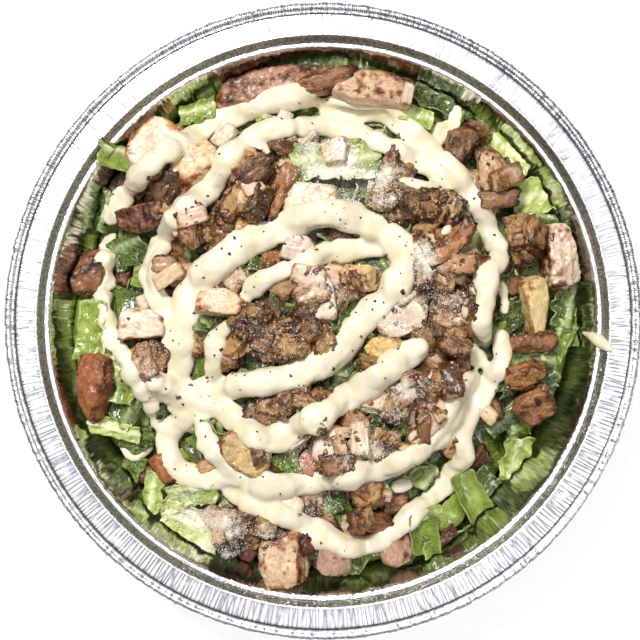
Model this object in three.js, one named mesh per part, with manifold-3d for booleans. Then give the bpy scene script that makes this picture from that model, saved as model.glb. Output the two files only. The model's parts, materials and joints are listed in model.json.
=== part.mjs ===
// A chicken caesar salad in a round take-away pan of crimped aluminium foil. Chopped romaine fills the pan
// as a low dome, diced roast chicken lies on it, and a thick dressing is piped over both in loose spirals.
// Millimetres, +Z up. The origin is on the table, at the centre of the pan's base.
import * as THREE from "three";
import { mergeVertices } from "three/addons/utils/BufferGeometryUtils.js";
import Module from "manifold-3d";

const wasm = await Module();
wasm.setup();

// ---- Driving dimensions -------------------------------------------------------------------------------

const RIM_RADIUS = 114.5; // outside of the rolled edge
const RIM_HEIGHT = 44; // top of the flange above the table
const FOIL = 0.6; // thickness of the pan's wall
const BASE_RADIUS = 84; // flat floor
const CORNER = 3; // radius between floor and wall
const WALL_TOP_RADIUS = 98.5; // inside of the wall, at the ledge
const LEDGE_DROP = 4; // how far the lid's ledge lies below the flange
const LEDGE_WIDTH = 2;
const STEP_RUN = 1.8; // how far the step leans outwards
const ROLL_WIDTH = 3.6; // rolled edge, in plan
const ROLL_HEIGHT = 4.6;
const PAN_SIDES = 48;

const GAP = 0.35; // between the food and the pan
const PIECE_MARGIN = 0.4; // kept free round each piece of chicken
const ROOM_SCALE = 1.08; // so that a plainer block holds a finer one
const HEAP_CENTRE = 40; // top of the romaine at the middle of the pan
const HEAP_EDGE = 27; // top of the romaine where it meets the wall
const HEAP_POWER = 2.4; // how flat the dome is
const LEAF_THICKNESS = 0.9;
const MOST_TILT = 24; // spread of the tilts of leaves and chicken, in degrees
const SHOWING = 0.28; // how high a piece's middle lies over the heap, as a share of its height
const ROPE_SIDES = 5;
const ROPE_STEP = 15;
const ROPE_HEIGHT = 0.36; // half a rope's height as a share of its width
const ROPE_RISE = 0.18; // how high a rope's middle lies over the food, as a share of its width
const ROPE_SINK = 1.5; // how deep its foot is in the romaine
const ROPE_TIP = 0.55; // how narrow its ends are, as a share of its width

// Places round the pan where the romaine lies lower, as direction and half width in degrees, and depth.
const HOLLOWS = [
  { towards: -40, half: 30, depth: 11 },
  { towards: 163, half: 17, depth: 10 },
  { towards: -142, half: 14, depth: 6 },
];

// ---- Small helpers ------------------------------------------------------------------------------------

const radians = THREE.MathUtils.degToRad;

/** A repeatable source of numbers from 0 to 1. */
function seeded(seed) {
  let state = seed * 2654435761;
  return () => {
    state = (state + 0x6d2b79f5) | 0;
    let t = Math.imul(state ^ (state >>> 15), 1 | state);
    t = (t + Math.imul(t ^ (t >>> 7), 61 | t)) ^ t;
    return ((t ^ (t >>> 14)) >>> 0) / 4294967296;
  };
}

/** A geometry with nothing but its points, each of them once. */
function merged(geometry) {
  const bare = geometry.clone();
  bare.deleteAttribute("normal");
  bare.deleteAttribute("uv");
  return mergeVertices(bare, 1e-4);
}

/** A closed geometry as a solid that can be joined and cut. */
function solidOf(geometry) {
  const { attributes, index } = merged(geometry);
  return new wasm.Manifold(
    new wasm.Mesh({
      numProp: 3,
      vertProperties: new Float32Array(attributes.position.array),
      triVerts: new Uint32Array(index.array),
    }),
  );
}

/** The largest single body of a solid, as a geometry. */
function geometryOf(solid) {
  const bodies = solid.decompose().sort((a, b) => b.volume() - a.volume());
  const mesh = bodies[0].getMesh();
  return new THREE.BufferGeometry()
    .setAttribute("position", new THREE.BufferAttribute(new Float32Array(mesh.vertProperties), 3))
    .setIndex(new THREE.BufferAttribute(new Uint32Array(mesh.triVerts), 1));
}

/** Moves every vertex of a geometry by a function that changes the vector it is given. */
function reshape(geometry, move) {
  const position = geometry.attributes.position;
  const point = new THREE.Vector3();
  for (let i = 0; i < position.count; i++) {
    point.fromBufferAttribute(position, i);
    move(point);
    position.setXYZ(i, point.x, point.y, point.z);
  }
  return geometry;
}

/** A solid of revolution about Z from an outline of [radius, height] pairs. */
function turned(outline, sides = PAN_SIDES) {
  const points = outline.map(([radius, height]) => new THREE.Vector2(radius, height));
  return new THREE.LatheGeometry(points, sides).rotateX(Math.PI / 2);
}

// ---- The pan ------------------------------------------------------------------------------------------

const LEDGE_HEIGHT = RIM_HEIGHT - LEDGE_DROP;
const STEP_TOP_RADIUS = WALL_TOP_RADIUS + LEDGE_WIDTH + STEP_RUN;

/** The inside of the wall at a height above the table. */
function wallRadius(height) {
  const share = (height - CORNER) / (LEDGE_HEIGHT - CORNER);
  return THREE.MathUtils.lerp(BASE_RADIUS + CORNER, WALL_TOP_RADIUS, Math.min(share, 1));
}

/** Points on the rolled edge, from under the flange, down, round the outside and up to the flange. */
function rolledEdge() {
  const centre = [RIM_RADIUS - ROLL_WIDTH / 2, RIM_HEIGHT - ROLL_HEIGHT / 2];
  const corners = 5;
  return Array.from({ length: corners + 1 }, (_, i) => {
    const angle = radians(200 + (i / corners) * 245);
    return [
      centre[0] + (ROLL_WIDTH / 2) * Math.cos(angle),
      centre[1] + (ROLL_HEIGHT / 2) * Math.sin(angle),
    ];
  });
}

function panGeometry() {
  const outline = [
    [0, 0],
    [BASE_RADIUS, 0],
    [BASE_RADIUS + CORNER + FOIL, CORNER],
    [WALL_TOP_RADIUS + FOIL, LEDGE_HEIGHT - FOIL],
    [WALL_TOP_RADIUS + LEDGE_WIDTH + FOIL, LEDGE_HEIGHT - FOIL],
    [STEP_TOP_RADIUS + FOIL, RIM_HEIGHT - FOIL],
    [RIM_RADIUS - ROLL_WIDTH, RIM_HEIGHT - FOIL],
    ...rolledEdge(),
    [RIM_RADIUS - ROLL_WIDTH, RIM_HEIGHT],
    [STEP_TOP_RADIUS, RIM_HEIGHT],
    [WALL_TOP_RADIUS + LEDGE_WIDTH, LEDGE_HEIGHT],
    [WALL_TOP_RADIUS, LEDGE_HEIGHT],
    [BASE_RADIUS + CORNER, CORNER + FOIL],
    [BASE_RADIUS - FOIL, FOIL],
    [0, FOIL],
  ];
  return turned(outline);
}

/** The room that the food may take: the inside of the pan less the gap, and the air above the flange. */
function roomForFood() {
  const sky = 90;
  return solidOf(
    turned([
      [0, FOIL + GAP],
      [BASE_RADIUS - FOIL - GAP, FOIL + GAP],
      [BASE_RADIUS + CORNER - 3 * GAP, CORNER + FOIL + GAP],
      [WALL_TOP_RADIUS - 2 * GAP, LEDGE_HEIGHT + GAP],
      [WALL_TOP_RADIUS + LEDGE_WIDTH - 2 * GAP, LEDGE_HEIGHT + GAP],
      [STEP_TOP_RADIUS - 2 * GAP, RIM_HEIGHT + GAP],
      [RIM_RADIUS, RIM_HEIGHT + GAP],
      [RIM_RADIUS, sky],
      [0, sky],
    ]),
  );
}

// ---- The shape of the romaine heap --------------------------------------------------------------------

/** Height of the romaine where it meets the wall, in a direction given in degrees. */
function edgeHeight(direction) {
  return HOLLOWS.reduce((height, { towards, half, depth }) => {
    const away = Math.abs(((direction - towards + 540) % 360) - 180) / half;
    return away < 1 ? height - depth * Math.cos((away * Math.PI) / 2) ** 2 : height;
  }, HEAP_EDGE);
}

/** Height of the bare heap of romaine over a point of the table. */
function heapHeight(x, y) {
  const edge = edgeHeight((Math.atan2(y, x) * 180) / Math.PI);
  const share = Math.min(Math.hypot(x, y) / wallRadius(edge), 1);
  const ripple = 1.2 * Math.sin(x * 0.13 + 1) * Math.cos(y * 0.15) * (1 - share ** 4);
  return THREE.MathUtils.lerp(HEAP_CENTRE, edge, share ** HEAP_POWER) + ripple;
}

/** The core of the heap: a dome on the pan's floor, out to the wall. */
function heapCore() {
  const rings = [1, 0.92, 0.78, 0.6, 0.4, 0.2, 0];
  const floor = FOIL + GAP;
  const sides = 24;
  const top = rings.map((share) => [share, HEAP_CENTRE]);
  const outline = [[0, floor], [BASE_RADIUS - FOIL - GAP, floor], ...top];
  return solidOf(
    reshape(turned(outline, sides), (point) => {
      if (point.z < HEAP_CENTRE) return;
      const direction = (Math.atan2(point.y, point.x) * 180) / Math.PI;
      const reach = wallRadius(edgeHeight(direction)) - 3 * GAP;
      point.x *= reach;
      point.y *= reach;
      point.z = heapHeight(point.x, point.y);
    }),
  );
}

// ---- Chicken ------------------------------------------------------------------------------------------

// How each cut of chicken is shaped: segments along length, width and height, how square it is (2 is an
// ellipsoid, more is boxier), how rough it is as a share of its size, and its colour.
const CUTS = {
  cube: { segments: [2, 2, 2], square: 4.5, rough: 0.15, look: "pale" },
  slab: { segments: [2, 2, 2], square: 5, rough: 0.12, look: "pale" },
  strip: { segments: [3, 2, 2], square: 3.5, rough: 0.15, look: "seared" },
  lump: { segments: [2, 2, 2], square: 3, rough: 0.15, look: "seared" },
  crisp: { segments: [2, 2, 2], square: 3, rough: 0.25, look: "crisp" },
};

// Each piece: the cut, where its middle lies, length, width and height, the turn of its length about Z in
// degrees, and, where it isn't 0, how much higher than its neighbours it lies and how far it is bowed.
const CHICKEN = [
  { cut: "strip", at: [-17, 86.5], size: [53, 11, 10], turn: 10, lift: 1, bow: -3 },
  { cut: "slab", at: [18, 84.5], size: [32.5, 13, 9.5], turn: -4, lift: 3 },
  { cut: "cube", at: [-61, 63], size: [22, 17.5, 13], turn: 70, lift: 4 },
  { cut: "lump", at: [-46, 56.5], size: [21.5, 14.5, 11], turn: 25, lift: 2 },
  { cut: "cube", at: [-36.5, 67.5], size: [13, 10, 7.5], turn: 60 },
  { cut: "crisp", at: [-57, 47], size: [20, 10.5, 9.5], turn: -8 },
  { cut: "strip", at: [-65, 38.5], size: [22, 11, 10], turn: 18, lift: 1 },
  { cut: "slab", at: [-27, 47.5], size: [20.5, 12, 11], turn: 82, lift: 2 },
  { cut: "strip", at: [-16, 46.5], size: [25.5, 6.5, 7.5], turn: 66, lift: 2 },
  { cut: "slab", at: [-4, 42.5], size: [21.5, 14, 8.5], turn: -8, lift: 1 },
  { cut: "cube", at: [4.5, 61], size: [13, 11, 9], turn: -75, lift: 1 },
  { cut: "crisp", at: [-43, 34.5], size: [20, 12, 10.5], turn: -14, lift: 1 },
  { cut: "strip", at: [-33, 29.5], size: [22, 7.5, 7.5], turn: 68 },
  { cut: "cube", at: [-52.5, 17.5], size: [14.5, 13, 10], turn: 50 },
  { cut: "slab", at: [-37, 6], size: [18.5, 9.5, 8.5], turn: -6, lift: 2 },
  { cut: "slab", at: [-65.5, -2], size: [17.5, 11, 9.5], turn: -4, lift: 3 },
  { cut: "crisp", at: [-63.5, -17], size: [19, 12, 10.5], turn: -52, lift: 1 },
  { cut: "cube", at: [-9, 26], size: [12, 9, 9], turn: -18, lift: 1 },
  { cut: "slab", at: [-2.5, 8], size: [20.5, 14, 9.5], turn: -62, lift: 1 },
  { cut: "lump", at: [13.5, 16.5], size: [15.5, 9, 9], turn: -6, lift: 2 },
  { cut: "crisp", at: [30, 41.5], size: [21, 17.5, 12], turn: 20, lift: 1 },
  { cut: "crisp", at: [44, 40.5], size: [16.5, 14, 10.5], turn: 70 },
  { cut: "cube", at: [36.5, 22.5], size: [20, 14.5, 10], turn: 72, lift: 1 },
  { cut: "lump", at: [49.5, 18.5], size: [21.5, 14.5, 10], turn: 80 },
  { cut: "strip", at: [46, 27], size: [27, 5, 7], turn: 44, lift: 8, bow: 2 },
  { cut: "lump", at: [50.5, 64], size: [14.5, 12.5, 11], turn: 20, lift: 1 },
  { cut: "strip", at: [61.5, 54], size: [24, 9, 9], turn: -66, lift: 2 },
  { cut: "lump", at: [85.5, 23.5], size: [27, 13.5, 12.5], turn: -82, lift: 4 },
  { cut: "crisp", at: [72, 29.5], size: [23.5, 10.5, 10.5], turn: -70, lift: 1 },
  { cut: "slab", at: [76.5, 6], size: [22.5, 8.5, 8.5], turn: -84, lift: 1 },
  { cut: "strip", at: [76.5, -7], size: [21, 6, 7.5], turn: 6, lift: 3 },
  { cut: "crisp", at: [-25, -2], size: [20, 15.5, 10.5], turn: 30 },
  { cut: "crisp", at: [-14, -7.5], size: [21, 15.5, 12], turn: -12, lift: 1 },
  { cut: "crisp", at: [0, -7.5], size: [14, 13, 9.5], turn: 45 },
  { cut: "slab", at: [28.5, 1.5], size: [20.5, 13, 9.5], turn: 8, lift: 1 },
  { cut: "crisp", at: [44.5, 2], size: [23.5, 17.5, 10.5], turn: 75 },
  { cut: "lump", at: [22, -10], size: [14.5, 9, 9], turn: 30 },
  { cut: "cube", at: [41.5, -22.5], size: [14.5, 10, 10], turn: 12, lift: 1 },
  { cut: "lump", at: [37.5, -36.5], size: [14.5, 11, 10], turn: 78, lift: 1 },
  { cut: "crisp", at: [27, -28.5], size: [22.5, 10.5, 9.5], turn: 62 },
  { cut: "crisp", at: [21, -44], size: [21, 12, 9.5], turn: -10 },
  { cut: "cube", at: [3, -44.5], size: [16.5, 11, 9], turn: 80 },
  { cut: "lump", at: [-28.5, -47], size: [22.5, 12.5, 10], turn: -32, lift: 1 },
  { cut: "lump", at: [-57.5, -55], size: [14.5, 9, 8], turn: -62 },
  { cut: "crisp", at: [-17, -30], size: [19, 9.5, 9.5], turn: -10 },
  { cut: "slab", at: [8.5, -66.5], size: [16, 11, 8.5], turn: 20 },
  { cut: "crisp", at: [-27.5, -75.5], size: [21, 13, 10.5], turn: 22, lift: 1 },
  { cut: "lump", at: [-14, -86], size: [22, 20, 15], turn: -75, lift: 4 },
  { cut: "cube", at: [3.5, -85.5], size: [13, 13, 10], turn: 15, lift: 1 },
  { cut: "cube", at: [26, -82.5], size: [13, 12, 10], turn: -20, lift: 1 },
  { cut: "strip", at: [73, -19.5], size: [18, 9, 8], turn: 8, lift: 3 },
  { cut: "lump", at: [77, -31.5], size: [17, 15, 11], turn: 35, lift: 4 },
  { cut: "lump", at: [-87, 18], size: [18, 13, 11], turn: 78, lift: 2 },
  { cut: "lump", at: [-83, -24], size: [27, 12, 11], turn: 86, lift: 3 },
  { cut: "slab", at: [-15.5, -66.5], size: [15, 10, 8], turn: -20 },
  { cut: "strip", at: [18, -73.5], size: [18, 7, 7], turn: -12, lift: 1 },
  { cut: "lump", at: [49, -46], size: [14, 9, 8], turn: 70, lift: 1 },
  { cut: "crisp", at: [-3, -28.5], size: [17, 12, 9], turn: 15 },
];

/** A rounded block: a superellipsoid of half sizes, bowed sideways, its corners worn down at random. */
function block(segments, square, half, bow, wear = () => 0) {
  return reshape(merged(new THREE.BoxGeometry(2, 2, 2, ...segments)), (point) => {
    const powers = [point.x, point.y, point.z].map((part) => Math.abs(part) ** square);
    const length = powers.reduce((sum, power) => sum + power) ** (1 / square);
    point.multiplyScalar((1 - wear()) / length);
    point.set(point.x * half[0], point.y * half[1] + bow * point.x ** 2, point.z * half[2]);
  });
}

/** A piece of chicken with its middle at the origin and its length along X. */
function chunk({ cut, size, bow = 0 }, seed) {
  const { segments, square, rough } = CUTS[cut];
  const random = seeded(seed);
  return block(segments, square, size.map((length) => length / 2), bow, () => rough * random());
}

/** The room that a piece of chicken takes among the other pieces: a plainer block all round it. */
function roomAmongChicken({ cut, size, bow = 0 }) {
  const half = size.map((length) => (length / 2) * ROOM_SCALE + PIECE_MARGIN);
  return block([2, 2, 2], CUTS[cut].square, half, bow);
}

/** The room that a piece of chicken takes in the heap: a box. */
function roomInHeap({ size, bow = 0 }) {
  const [length, width, height] = size.map((side) => side + 2 * PIECE_MARGIN);
  return new THREE.BoxGeometry(length, width + Math.abs(bow), height).translate(0, bow / 2, 0);
}

/** The turn that lays a piece flat on the heap at a place, with its length at a turn in degrees about Z. */
function lieOnHeap(x, y, turn, tilt) {
  const reach = 4;
  const slopeX = (heapHeight(x + reach, y) - heapHeight(x - reach, y)) / (2 * reach);
  const slopeY = (heapHeight(x, y + reach) - heapHeight(x, y - reach)) / (2 * reach);
  const up = new THREE.Vector3(-slopeX, -slopeY, 1).normalize();
  const lean = new THREE.Quaternion().setFromUnitVectors(new THREE.Vector3(0, 0, 1), up);
  const own = new THREE.Euler(radians(tilt[0]), radians(tilt[1]), radians(turn), "ZYX");
  return lean.multiply(new THREE.Quaternion().setFromEuler(own));
}

/** Where a piece of chicken lies, as a matrix: a quarter of it sunk among the leaves. */
function chickenPlace({ at, size, turn, lift = 0 }, seed) {
  const random = seeded(seed + 500);
  const tilt = [random() - 0.5, random() - 0.5].map((share) => share * MOST_TILT);
  const height = heapHeight(at[0], at[1]) + size[2] * SHOWING + lift;
  const place = new THREE.Vector3(at[0], at[1], height);
  return new THREE.Matrix4().compose(place, lieOnHeap(at[0], at[1], turn, tilt), new THREE.Vector3(1, 1, 1));
}

/** Each piece of chicken: its place, itself, and itself with room round it for cutting its neighbours. */
function chickenPieces(room) {
  const pieces = CHICKEN.map((piece, i) => {
    const place = chickenPlace(piece, i);
    return {
      ...piece,
      place,
      solid: solidOf(chunk(piece, i).applyMatrix4(place)).intersect(room),
      grown: solidOf(roomAmongChicken(piece).applyMatrix4(place)),
      pocket: solidOf(roomInHeap(piece).applyMatrix4(place)),
    };
  });
  pieces.forEach((piece, i) => {
    pieces.slice(i + 1).forEach((later) => {
      piece.solid = piece.solid.subtract(later.grown);
    });
  });
  return pieces;
}

// ---- Romaine ------------------------------------------------------------------------------------------

// The torn leaves that show: where the middle of each lies, its length and width, the turn of its length
// about Z in degrees, and how much higher than the heap it lies.
const LEAVES = [
  { at: [69, 62], size: [18, 12], turn: -35, lift: 1 },
  { at: [78, 46], size: [20, 12], turn: 15, lift: 1 },
  { at: [88, 6], size: [16, 10], turn: 80, lift: 1.5 },
  { at: [86, -9], size: [16, 9], turn: 60, lift: 1 },
  { at: [69, -48], size: [16, 11], turn: 80, lift: 2 },
  { at: [74, -17], size: [22, 15], turn: 5, lift: 0.5 },
  { at: [65, -33], size: [16, 15], turn: 40, lift: 0.5 },
  { at: [55, -66], size: [22, 8], turn: 35, lift: 2 },
  { at: [51, -73], size: [20, 7], turn: 20, lift: 1.5 },
  { at: [36, -79], size: [20, 10], turn: -25, lift: 1.5 },
  { at: [19, -60], size: [11, 10], turn: -50, lift: 1 },
  { at: [-48, -75], size: [23, 14], turn: -22, lift: 0 },
  { at: [-62, -63], size: [14, 9], turn: 80, lift: 1.5 },
  { at: [-48, -63], size: [18, 8], turn: 8, lift: 0.5 },
  { at: [-77, -39], size: [19, 6], turn: -15, lift: 1 },
  { at: [-73, -21], size: [17, 12], turn: 85, lift: 1 },
  { at: [-84, -3], size: [19, 13], turn: 85, lift: 0.5 },
  { at: [-71, 26], size: [14, 13], turn: 20, lift: 0.5 },
  { at: [-82, 42], size: [16, 9], turn: 65, lift: 1 },
  { at: [-75, 60], size: [17, 9], turn: 40, lift: 1 },
  { at: [-46, 77], size: [12, 7], turn: 15, lift: 1 },
  { at: [4, 58], size: [32, 13], turn: 2, lift: 1 },
  { at: [22, 48], size: [14, 10], turn: 75, lift: 1 },
  { at: [34, 75], size: [12, 8], turn: -20, lift: 1.5 },
  { at: [41, 84], size: [15, 13], turn: -25, lift: 0.5 },
  { at: [64, 17], size: [14, 11], turn: 70, lift: 0.5 },
];

/** A thin closed sheet: a grid of points, the same grid one thickness lower, and a rim round both. */
function sheet(columns, rows, thickness, place) {
  const across = columns + 1;
  const count = across * (rows + 1);
  const at = (column, row) => row * across + column;
  const points = [0.5, -0.5].flatMap((side) =>
    Array.from({ length: count }, (_, i) => {
      const u = ((i % across) / columns) * 2 - 1;
      const v = (Math.floor(i / across) / rows) * 2 - 1;
      const point = place(u, v);
      return [point.x, point.y, point.z + side * thickness];
    }).flat(),
  );
  const faces = [];
  for (let row = 0; row < rows; row++) {
    for (let column = 0; column < columns; column++) {
      const [a, b] = [at(column, row), at(column + 1, row)];
      const [c, d] = [at(column + 1, row + 1), at(column, row + 1)];
      faces.push(a, b, c, a, c, d);
      faces.push(a + count, c + count, b + count, a + count, d + count, c + count);
    }
  }
  const rim = [
    ...Array.from({ length: columns }, (_, i) => at(i, 0)),
    ...Array.from({ length: rows }, (_, i) => at(columns, i)),
    ...Array.from({ length: columns }, (_, i) => at(columns - i, rows)),
    ...Array.from({ length: rows }, (_, i) => at(0, rows - i)),
  ];
  rim.forEach((from, i) => {
    const to = rim[(i + 1) % rim.length];
    faces.push(from + count, to + count, to, from + count, to, from);
  });
  return new THREE.BufferGeometry()
    .setAttribute("position", new THREE.Float32BufferAttribute(points, 3))
    .setIndex(faces);
}

/** A torn leaf: a rounded sheet that waves along its length and cups across it, lying on the heap. */
function leaf({ at, size, turn, lift }, seed) {
  const random = seeded(seed + 900);
  const wave = { phase: random() * 6, depth: 0.8 + random() * 1.2, cup: random() * 2.2 - 0.6 };
  const tilt = [random() - 0.5, random() - 0.5].map((share) => share * MOST_TILT);
  const place = new THREE.Matrix4().compose(
    new THREE.Vector3(at[0], at[1], heapHeight(at[0], at[1]) + lift),
    lieOnHeap(at[0], at[1], turn, tilt),
    new THREE.Vector3(1, 1, 1),
  );
  return sheet(3, 2, LEAF_THICKNESS, (u, v) => {
    const narrowing = 1 - 0.35 * u ** 2;
    const rise = wave.depth * Math.sin(u * 2.6 + wave.phase) + wave.cup * v ** 2;
    return new THREE.Vector3((u * size[0]) / 2, (v * narrowing * size[1]) / 2, rise);
  }).applyMatrix4(place);
}

// ---- Dressing -----------------------------------------------------------------------------------------

// Each stroke of dressing as it was piped: knots of [x, y, width].
const STROKES = {
  back_arc: [
    [-3, 81.5, 6], [-12, 81.5, 8], [-33.5, 75.5, 8], [-51.5, 64, 8], [-68.7, 50, 8], [-79, 37.5, 7],
  ],
  left_beads: [
    [-78, 32, 5], [-81, 26, 6], [-79.5, 18, 5], [-80, 8, 8], [-77, -5, 7], [-70.5, -18, 8],
    [-63, -28, 7], [-58, -39.5, 7],
  ],
  inner_back_arc: [
    [42, 52.5, 6], [27.5, 62, 8], [9.5, 70, 8], [-8.5, 70.5, 8], [-27, 65.5, 7], [-38, 52, 7],
    [-48.5, 41, 8], [-59.5, 27.5, 7], [-62.5, 13.5, 7], [-54.5, 0.5, 7],
  ],
  right_arc: [
    [0, 79, 6], [19, 77.5, 7], [35, 67.5, 7], [47.5, 54, 7], [57, 39.5, 9], [63.5, 26.5, 9],
    [58.5, 17, 6], [57, 5, 6.5], [58, -6, 6],
  ],
  wall_drip: [[49, 78.5, 5], [47.5, 72, 6], [42, 69, 6], [41, 62, 6]],
  right_to_bottom: [
    [65, -4.5, 6], [63.5, -16.5, 7], [58, -28, 7], [52, -39, 7], [51.5, -49, 6], [45.5, -59.5, 7],
    [35, -67.5, 7], [23.5, -78.5, 8], [8, -81.5, 9], [-5.5, -75, 8], [-23.5, -67, 7], [-34, -61, 7],
  ],
  blob_strand: [[54.5, -8.5, 6], [56, -13, 7], [60, -16, 6]],
  third_arc: [
    [54.5, -20, 7], [48, -31, 8], [41.5, -42.5, 9], [27.5, -50.5, 8], [11.5, -54, 9], [-3, -58.5, 8],
    [-22, -59.5, 8], [-35, -61, 8],
  ],
  fourth_arc: [
    [35, -9, 8], [20.5, -19, 10], [6, -29, 11], [-7.5, -36.5, 11], [-20, -42.5, 10], [-31.5, -35.5, 9],
    [-44.5, -30, 8], [-56, -39.5, 8], [-54.5, -52, 8], [-42.5, -57.5, 8], [-35, -57, 7],
  ],
  inner_loop: [[-45, -34.5, 6], [-42.5, -40.5, 7.5], [-39.5, -47, 7.5], [-30.5, -57.5, 6]],
  fifth_arc: [
    [-52, -18, 8], [-52, -3, 12], [-47, 11, 10], [-28, 27.5, 9], [-12, 34.5, 9], [6, 38, 8],
    [23.5, 31, 9], [28.5, 18.5, 8], [17, -2, 9], [2.5, -13.5, 9], [-17.5, -21, 9], [-39, -24, 9],
    [-54.5, -31, 8],
  ],
  core_line: [[-27.5, 8.5, 7], [-17.5, 16.5, 7.5], [2.5, 24.5, 7.5], [24, 27, 7]],
  upright_line: [[-34, -1, 6], [-38, -7, 6.5], [-39.5, -21.5, 6.5]],
};

/** Height of the food over a point of the table: the romaine, or a piece of chicken that lies there. */
function foodHeight(x, y, pieces) {
  const over = new THREE.Vector3();
  return pieces.reduce((height, { place, size, cut }) => {
    over.setFromMatrixPosition(place);
    const middle = over.z;
    over.set(x, y, middle).applyMatrix4(place.clone().invert());
    const { square } = CUTS[cut];
    const used = Math.abs((2 * over.x) / size[0]) ** square + Math.abs((2 * over.y) / size[1]) ** square;
    return used < 1 ? Math.max(height, middle + (size[2] / 2) * (1 - used) ** (1 / square)) : height;
  }, heapHeight(x, y));
}

/** Stations along a stroke: middle, heading, width and the height of the food there, smoothed. */
function ropeStations(knots, pieces) {
  const corners = knots.map((knot) => new THREE.Vector3(...knot)); // the width rides along as z
  const route = new THREE.CatmullRomCurve3(corners, false, "catmullrom");
  const steps = Math.max(Math.round(route.getLength() / ROPE_STEP), 2);
  return route.getSpacedPoints(steps).map((point, i) => {
    const heading = route.getTangentAt(i / steps).setZ(0).normalize();
    const [back, here, ahead] = [-0.5, 0, 0.5].map((share) => {
      const near = point.clone().addScaledVector(heading, share * ROPE_STEP);
      return foodHeight(near.x, near.y, pieces);
    });
    const fullness = i === 0 || i === steps ? ROPE_TIP : 1;
    return { point, heading, height: (back + 2 * here + ahead) / 4, width: point.z * fullness };
  });
}

/** A rope of dressing along its knots, lying on the food and running down to the romaine under it. */
function rope(knots, pieces) {
  const stations = ropeStations(knots, pieces);
  const steps = stations.length - 1;
  const tube = new THREE.CylinderGeometry(1, 1, 1, ROPE_SIDES, steps);
  return reshape(merged(tube), (corner) => {
    const { point, heading, height, width } = stations[Math.round((0.5 - corner.y) * steps)];
    const across = (corner.x * width) / 2;
    const top = height + corner.z * width * ROPE_HEIGHT + point.z * ROPE_RISE;
    const foot = heapHeight(point.x, point.y) - ROPE_SINK;
    const isFoot = corner.z < -0.1;
    corner.set(point.x - heading.y * across, point.y + heading.x * across, isFoot ? foot : top);
  });
}

// ---- The whole salad ----------------------------------------------------------------------------------

const LOOKS = {
  foil: { color: 0xd9d8d6, roughness: 0.32, metalness: 1 },
  salad: { color: 0x7f9642, roughness: 0.55, metalness: 0 },
  pale: { color: 0xd9b48d, roughness: 0.6, metalness: 0 },
  seared: { color: 0xb57a48, roughness: 0.55, metalness: 0 },
  crisp: { color: 0xa36b3f, roughness: 0.65, metalness: 0 },
};

const group = new THREE.Group();

function addPiece(name, geometry, look) {
  const mesh = new THREE.Mesh(geometry, new THREE.MeshStandardMaterial(LOOKS[look]));
  mesh.name = name;
  group.add(mesh);
  return mesh;
}

function saladHeap(room, pieces) {
  const leaves = LEAVES.map(leaf);
  const ropes = Object.values(STROKES).map((knots) => rope(knots, pieces));
  const whole = [...leaves, ...ropes].reduce((heap, part) => heap.add(solidOf(part)), heapCore());
  return pieces.reduce((heap, { pocket }) => heap.subtract(pocket), whole.intersect(room));
}

addPiece("foil_pan", panGeometry(), "foil");

const room = roomForFood();
const chicken = chickenPieces(room);
addPiece("salad_heap", geometryOf(saladHeap(room, chicken)), "salad");

chicken.forEach(({ cut, place, solid }, i) => {
  const middle = new THREE.Vector3().setFromMatrixPosition(place);
  const geometry = geometryOf(solid).translate(-middle.x, -middle.y, -middle.z);
  addPiece(`chicken_${String(i + 1).padStart(2, "0")}`, geometry, CUTS[cut].look).position.copy(middle);
});

export default group;
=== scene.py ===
"""A chicken caesar salad in a round take-away pan of crimped foil.

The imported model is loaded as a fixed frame, and the finished foil and food are built around it:
the pressed pan, the chopped romaine, the diced roast chicken, the piped dressing, and the crumbs,
pepper and grated cheese that lie on them. Shapes are modelled in millimetres and turned to metres
as each piece is finished. The origin is on the table, at the centre of the pan's base, with +Z up.
"""

from __future__ import annotations

import json
import logging
import math
import random
from dataclasses import dataclass
from enum import Enum
from functools import partial
from typing import Callable, Iterable, Iterator, Sequence

import bmesh
import bpy
import numpy as np
from bmesh.types import BMEdge, BMesh, BMVert
from bpy.types import Material, Mesh, Object
from bpy.types import NodeSocket as Socket
from mathutils import Euler, Matrix, Quaternion, Vector, noise
from mathutils.bvhtree import BVHTree

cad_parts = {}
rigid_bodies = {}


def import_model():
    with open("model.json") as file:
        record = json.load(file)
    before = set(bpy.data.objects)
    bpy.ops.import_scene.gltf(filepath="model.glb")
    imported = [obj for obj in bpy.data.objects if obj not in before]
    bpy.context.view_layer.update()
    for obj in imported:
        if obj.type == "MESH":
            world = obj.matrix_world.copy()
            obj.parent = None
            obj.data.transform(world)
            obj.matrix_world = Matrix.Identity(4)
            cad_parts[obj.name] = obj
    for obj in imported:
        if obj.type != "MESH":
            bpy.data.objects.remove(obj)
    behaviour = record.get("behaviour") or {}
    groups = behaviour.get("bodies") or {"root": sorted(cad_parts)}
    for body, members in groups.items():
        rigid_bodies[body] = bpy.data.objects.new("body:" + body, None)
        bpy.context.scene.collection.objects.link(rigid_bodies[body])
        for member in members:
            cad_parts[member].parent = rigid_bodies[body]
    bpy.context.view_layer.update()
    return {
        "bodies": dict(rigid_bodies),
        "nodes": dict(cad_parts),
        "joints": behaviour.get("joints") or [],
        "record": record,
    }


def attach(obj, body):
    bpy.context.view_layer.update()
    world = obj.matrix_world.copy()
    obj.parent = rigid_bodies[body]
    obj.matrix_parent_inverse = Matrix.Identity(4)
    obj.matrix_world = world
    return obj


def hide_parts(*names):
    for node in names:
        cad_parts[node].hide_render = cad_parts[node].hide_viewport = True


log = logging.getLogger("salad")

MM = 0.001
BODY = "root"
HEAP_NODE = "salad_heap"
PAN_NODE = "foil_pan"
UP = Vector((0.0, 0.0, 1.0))
TOP = 50.5  # nothing loose lies higher than this, in mm
GAP = 0.7  # what food keeps from the wall, in mm
COARSE = 1.0

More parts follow.
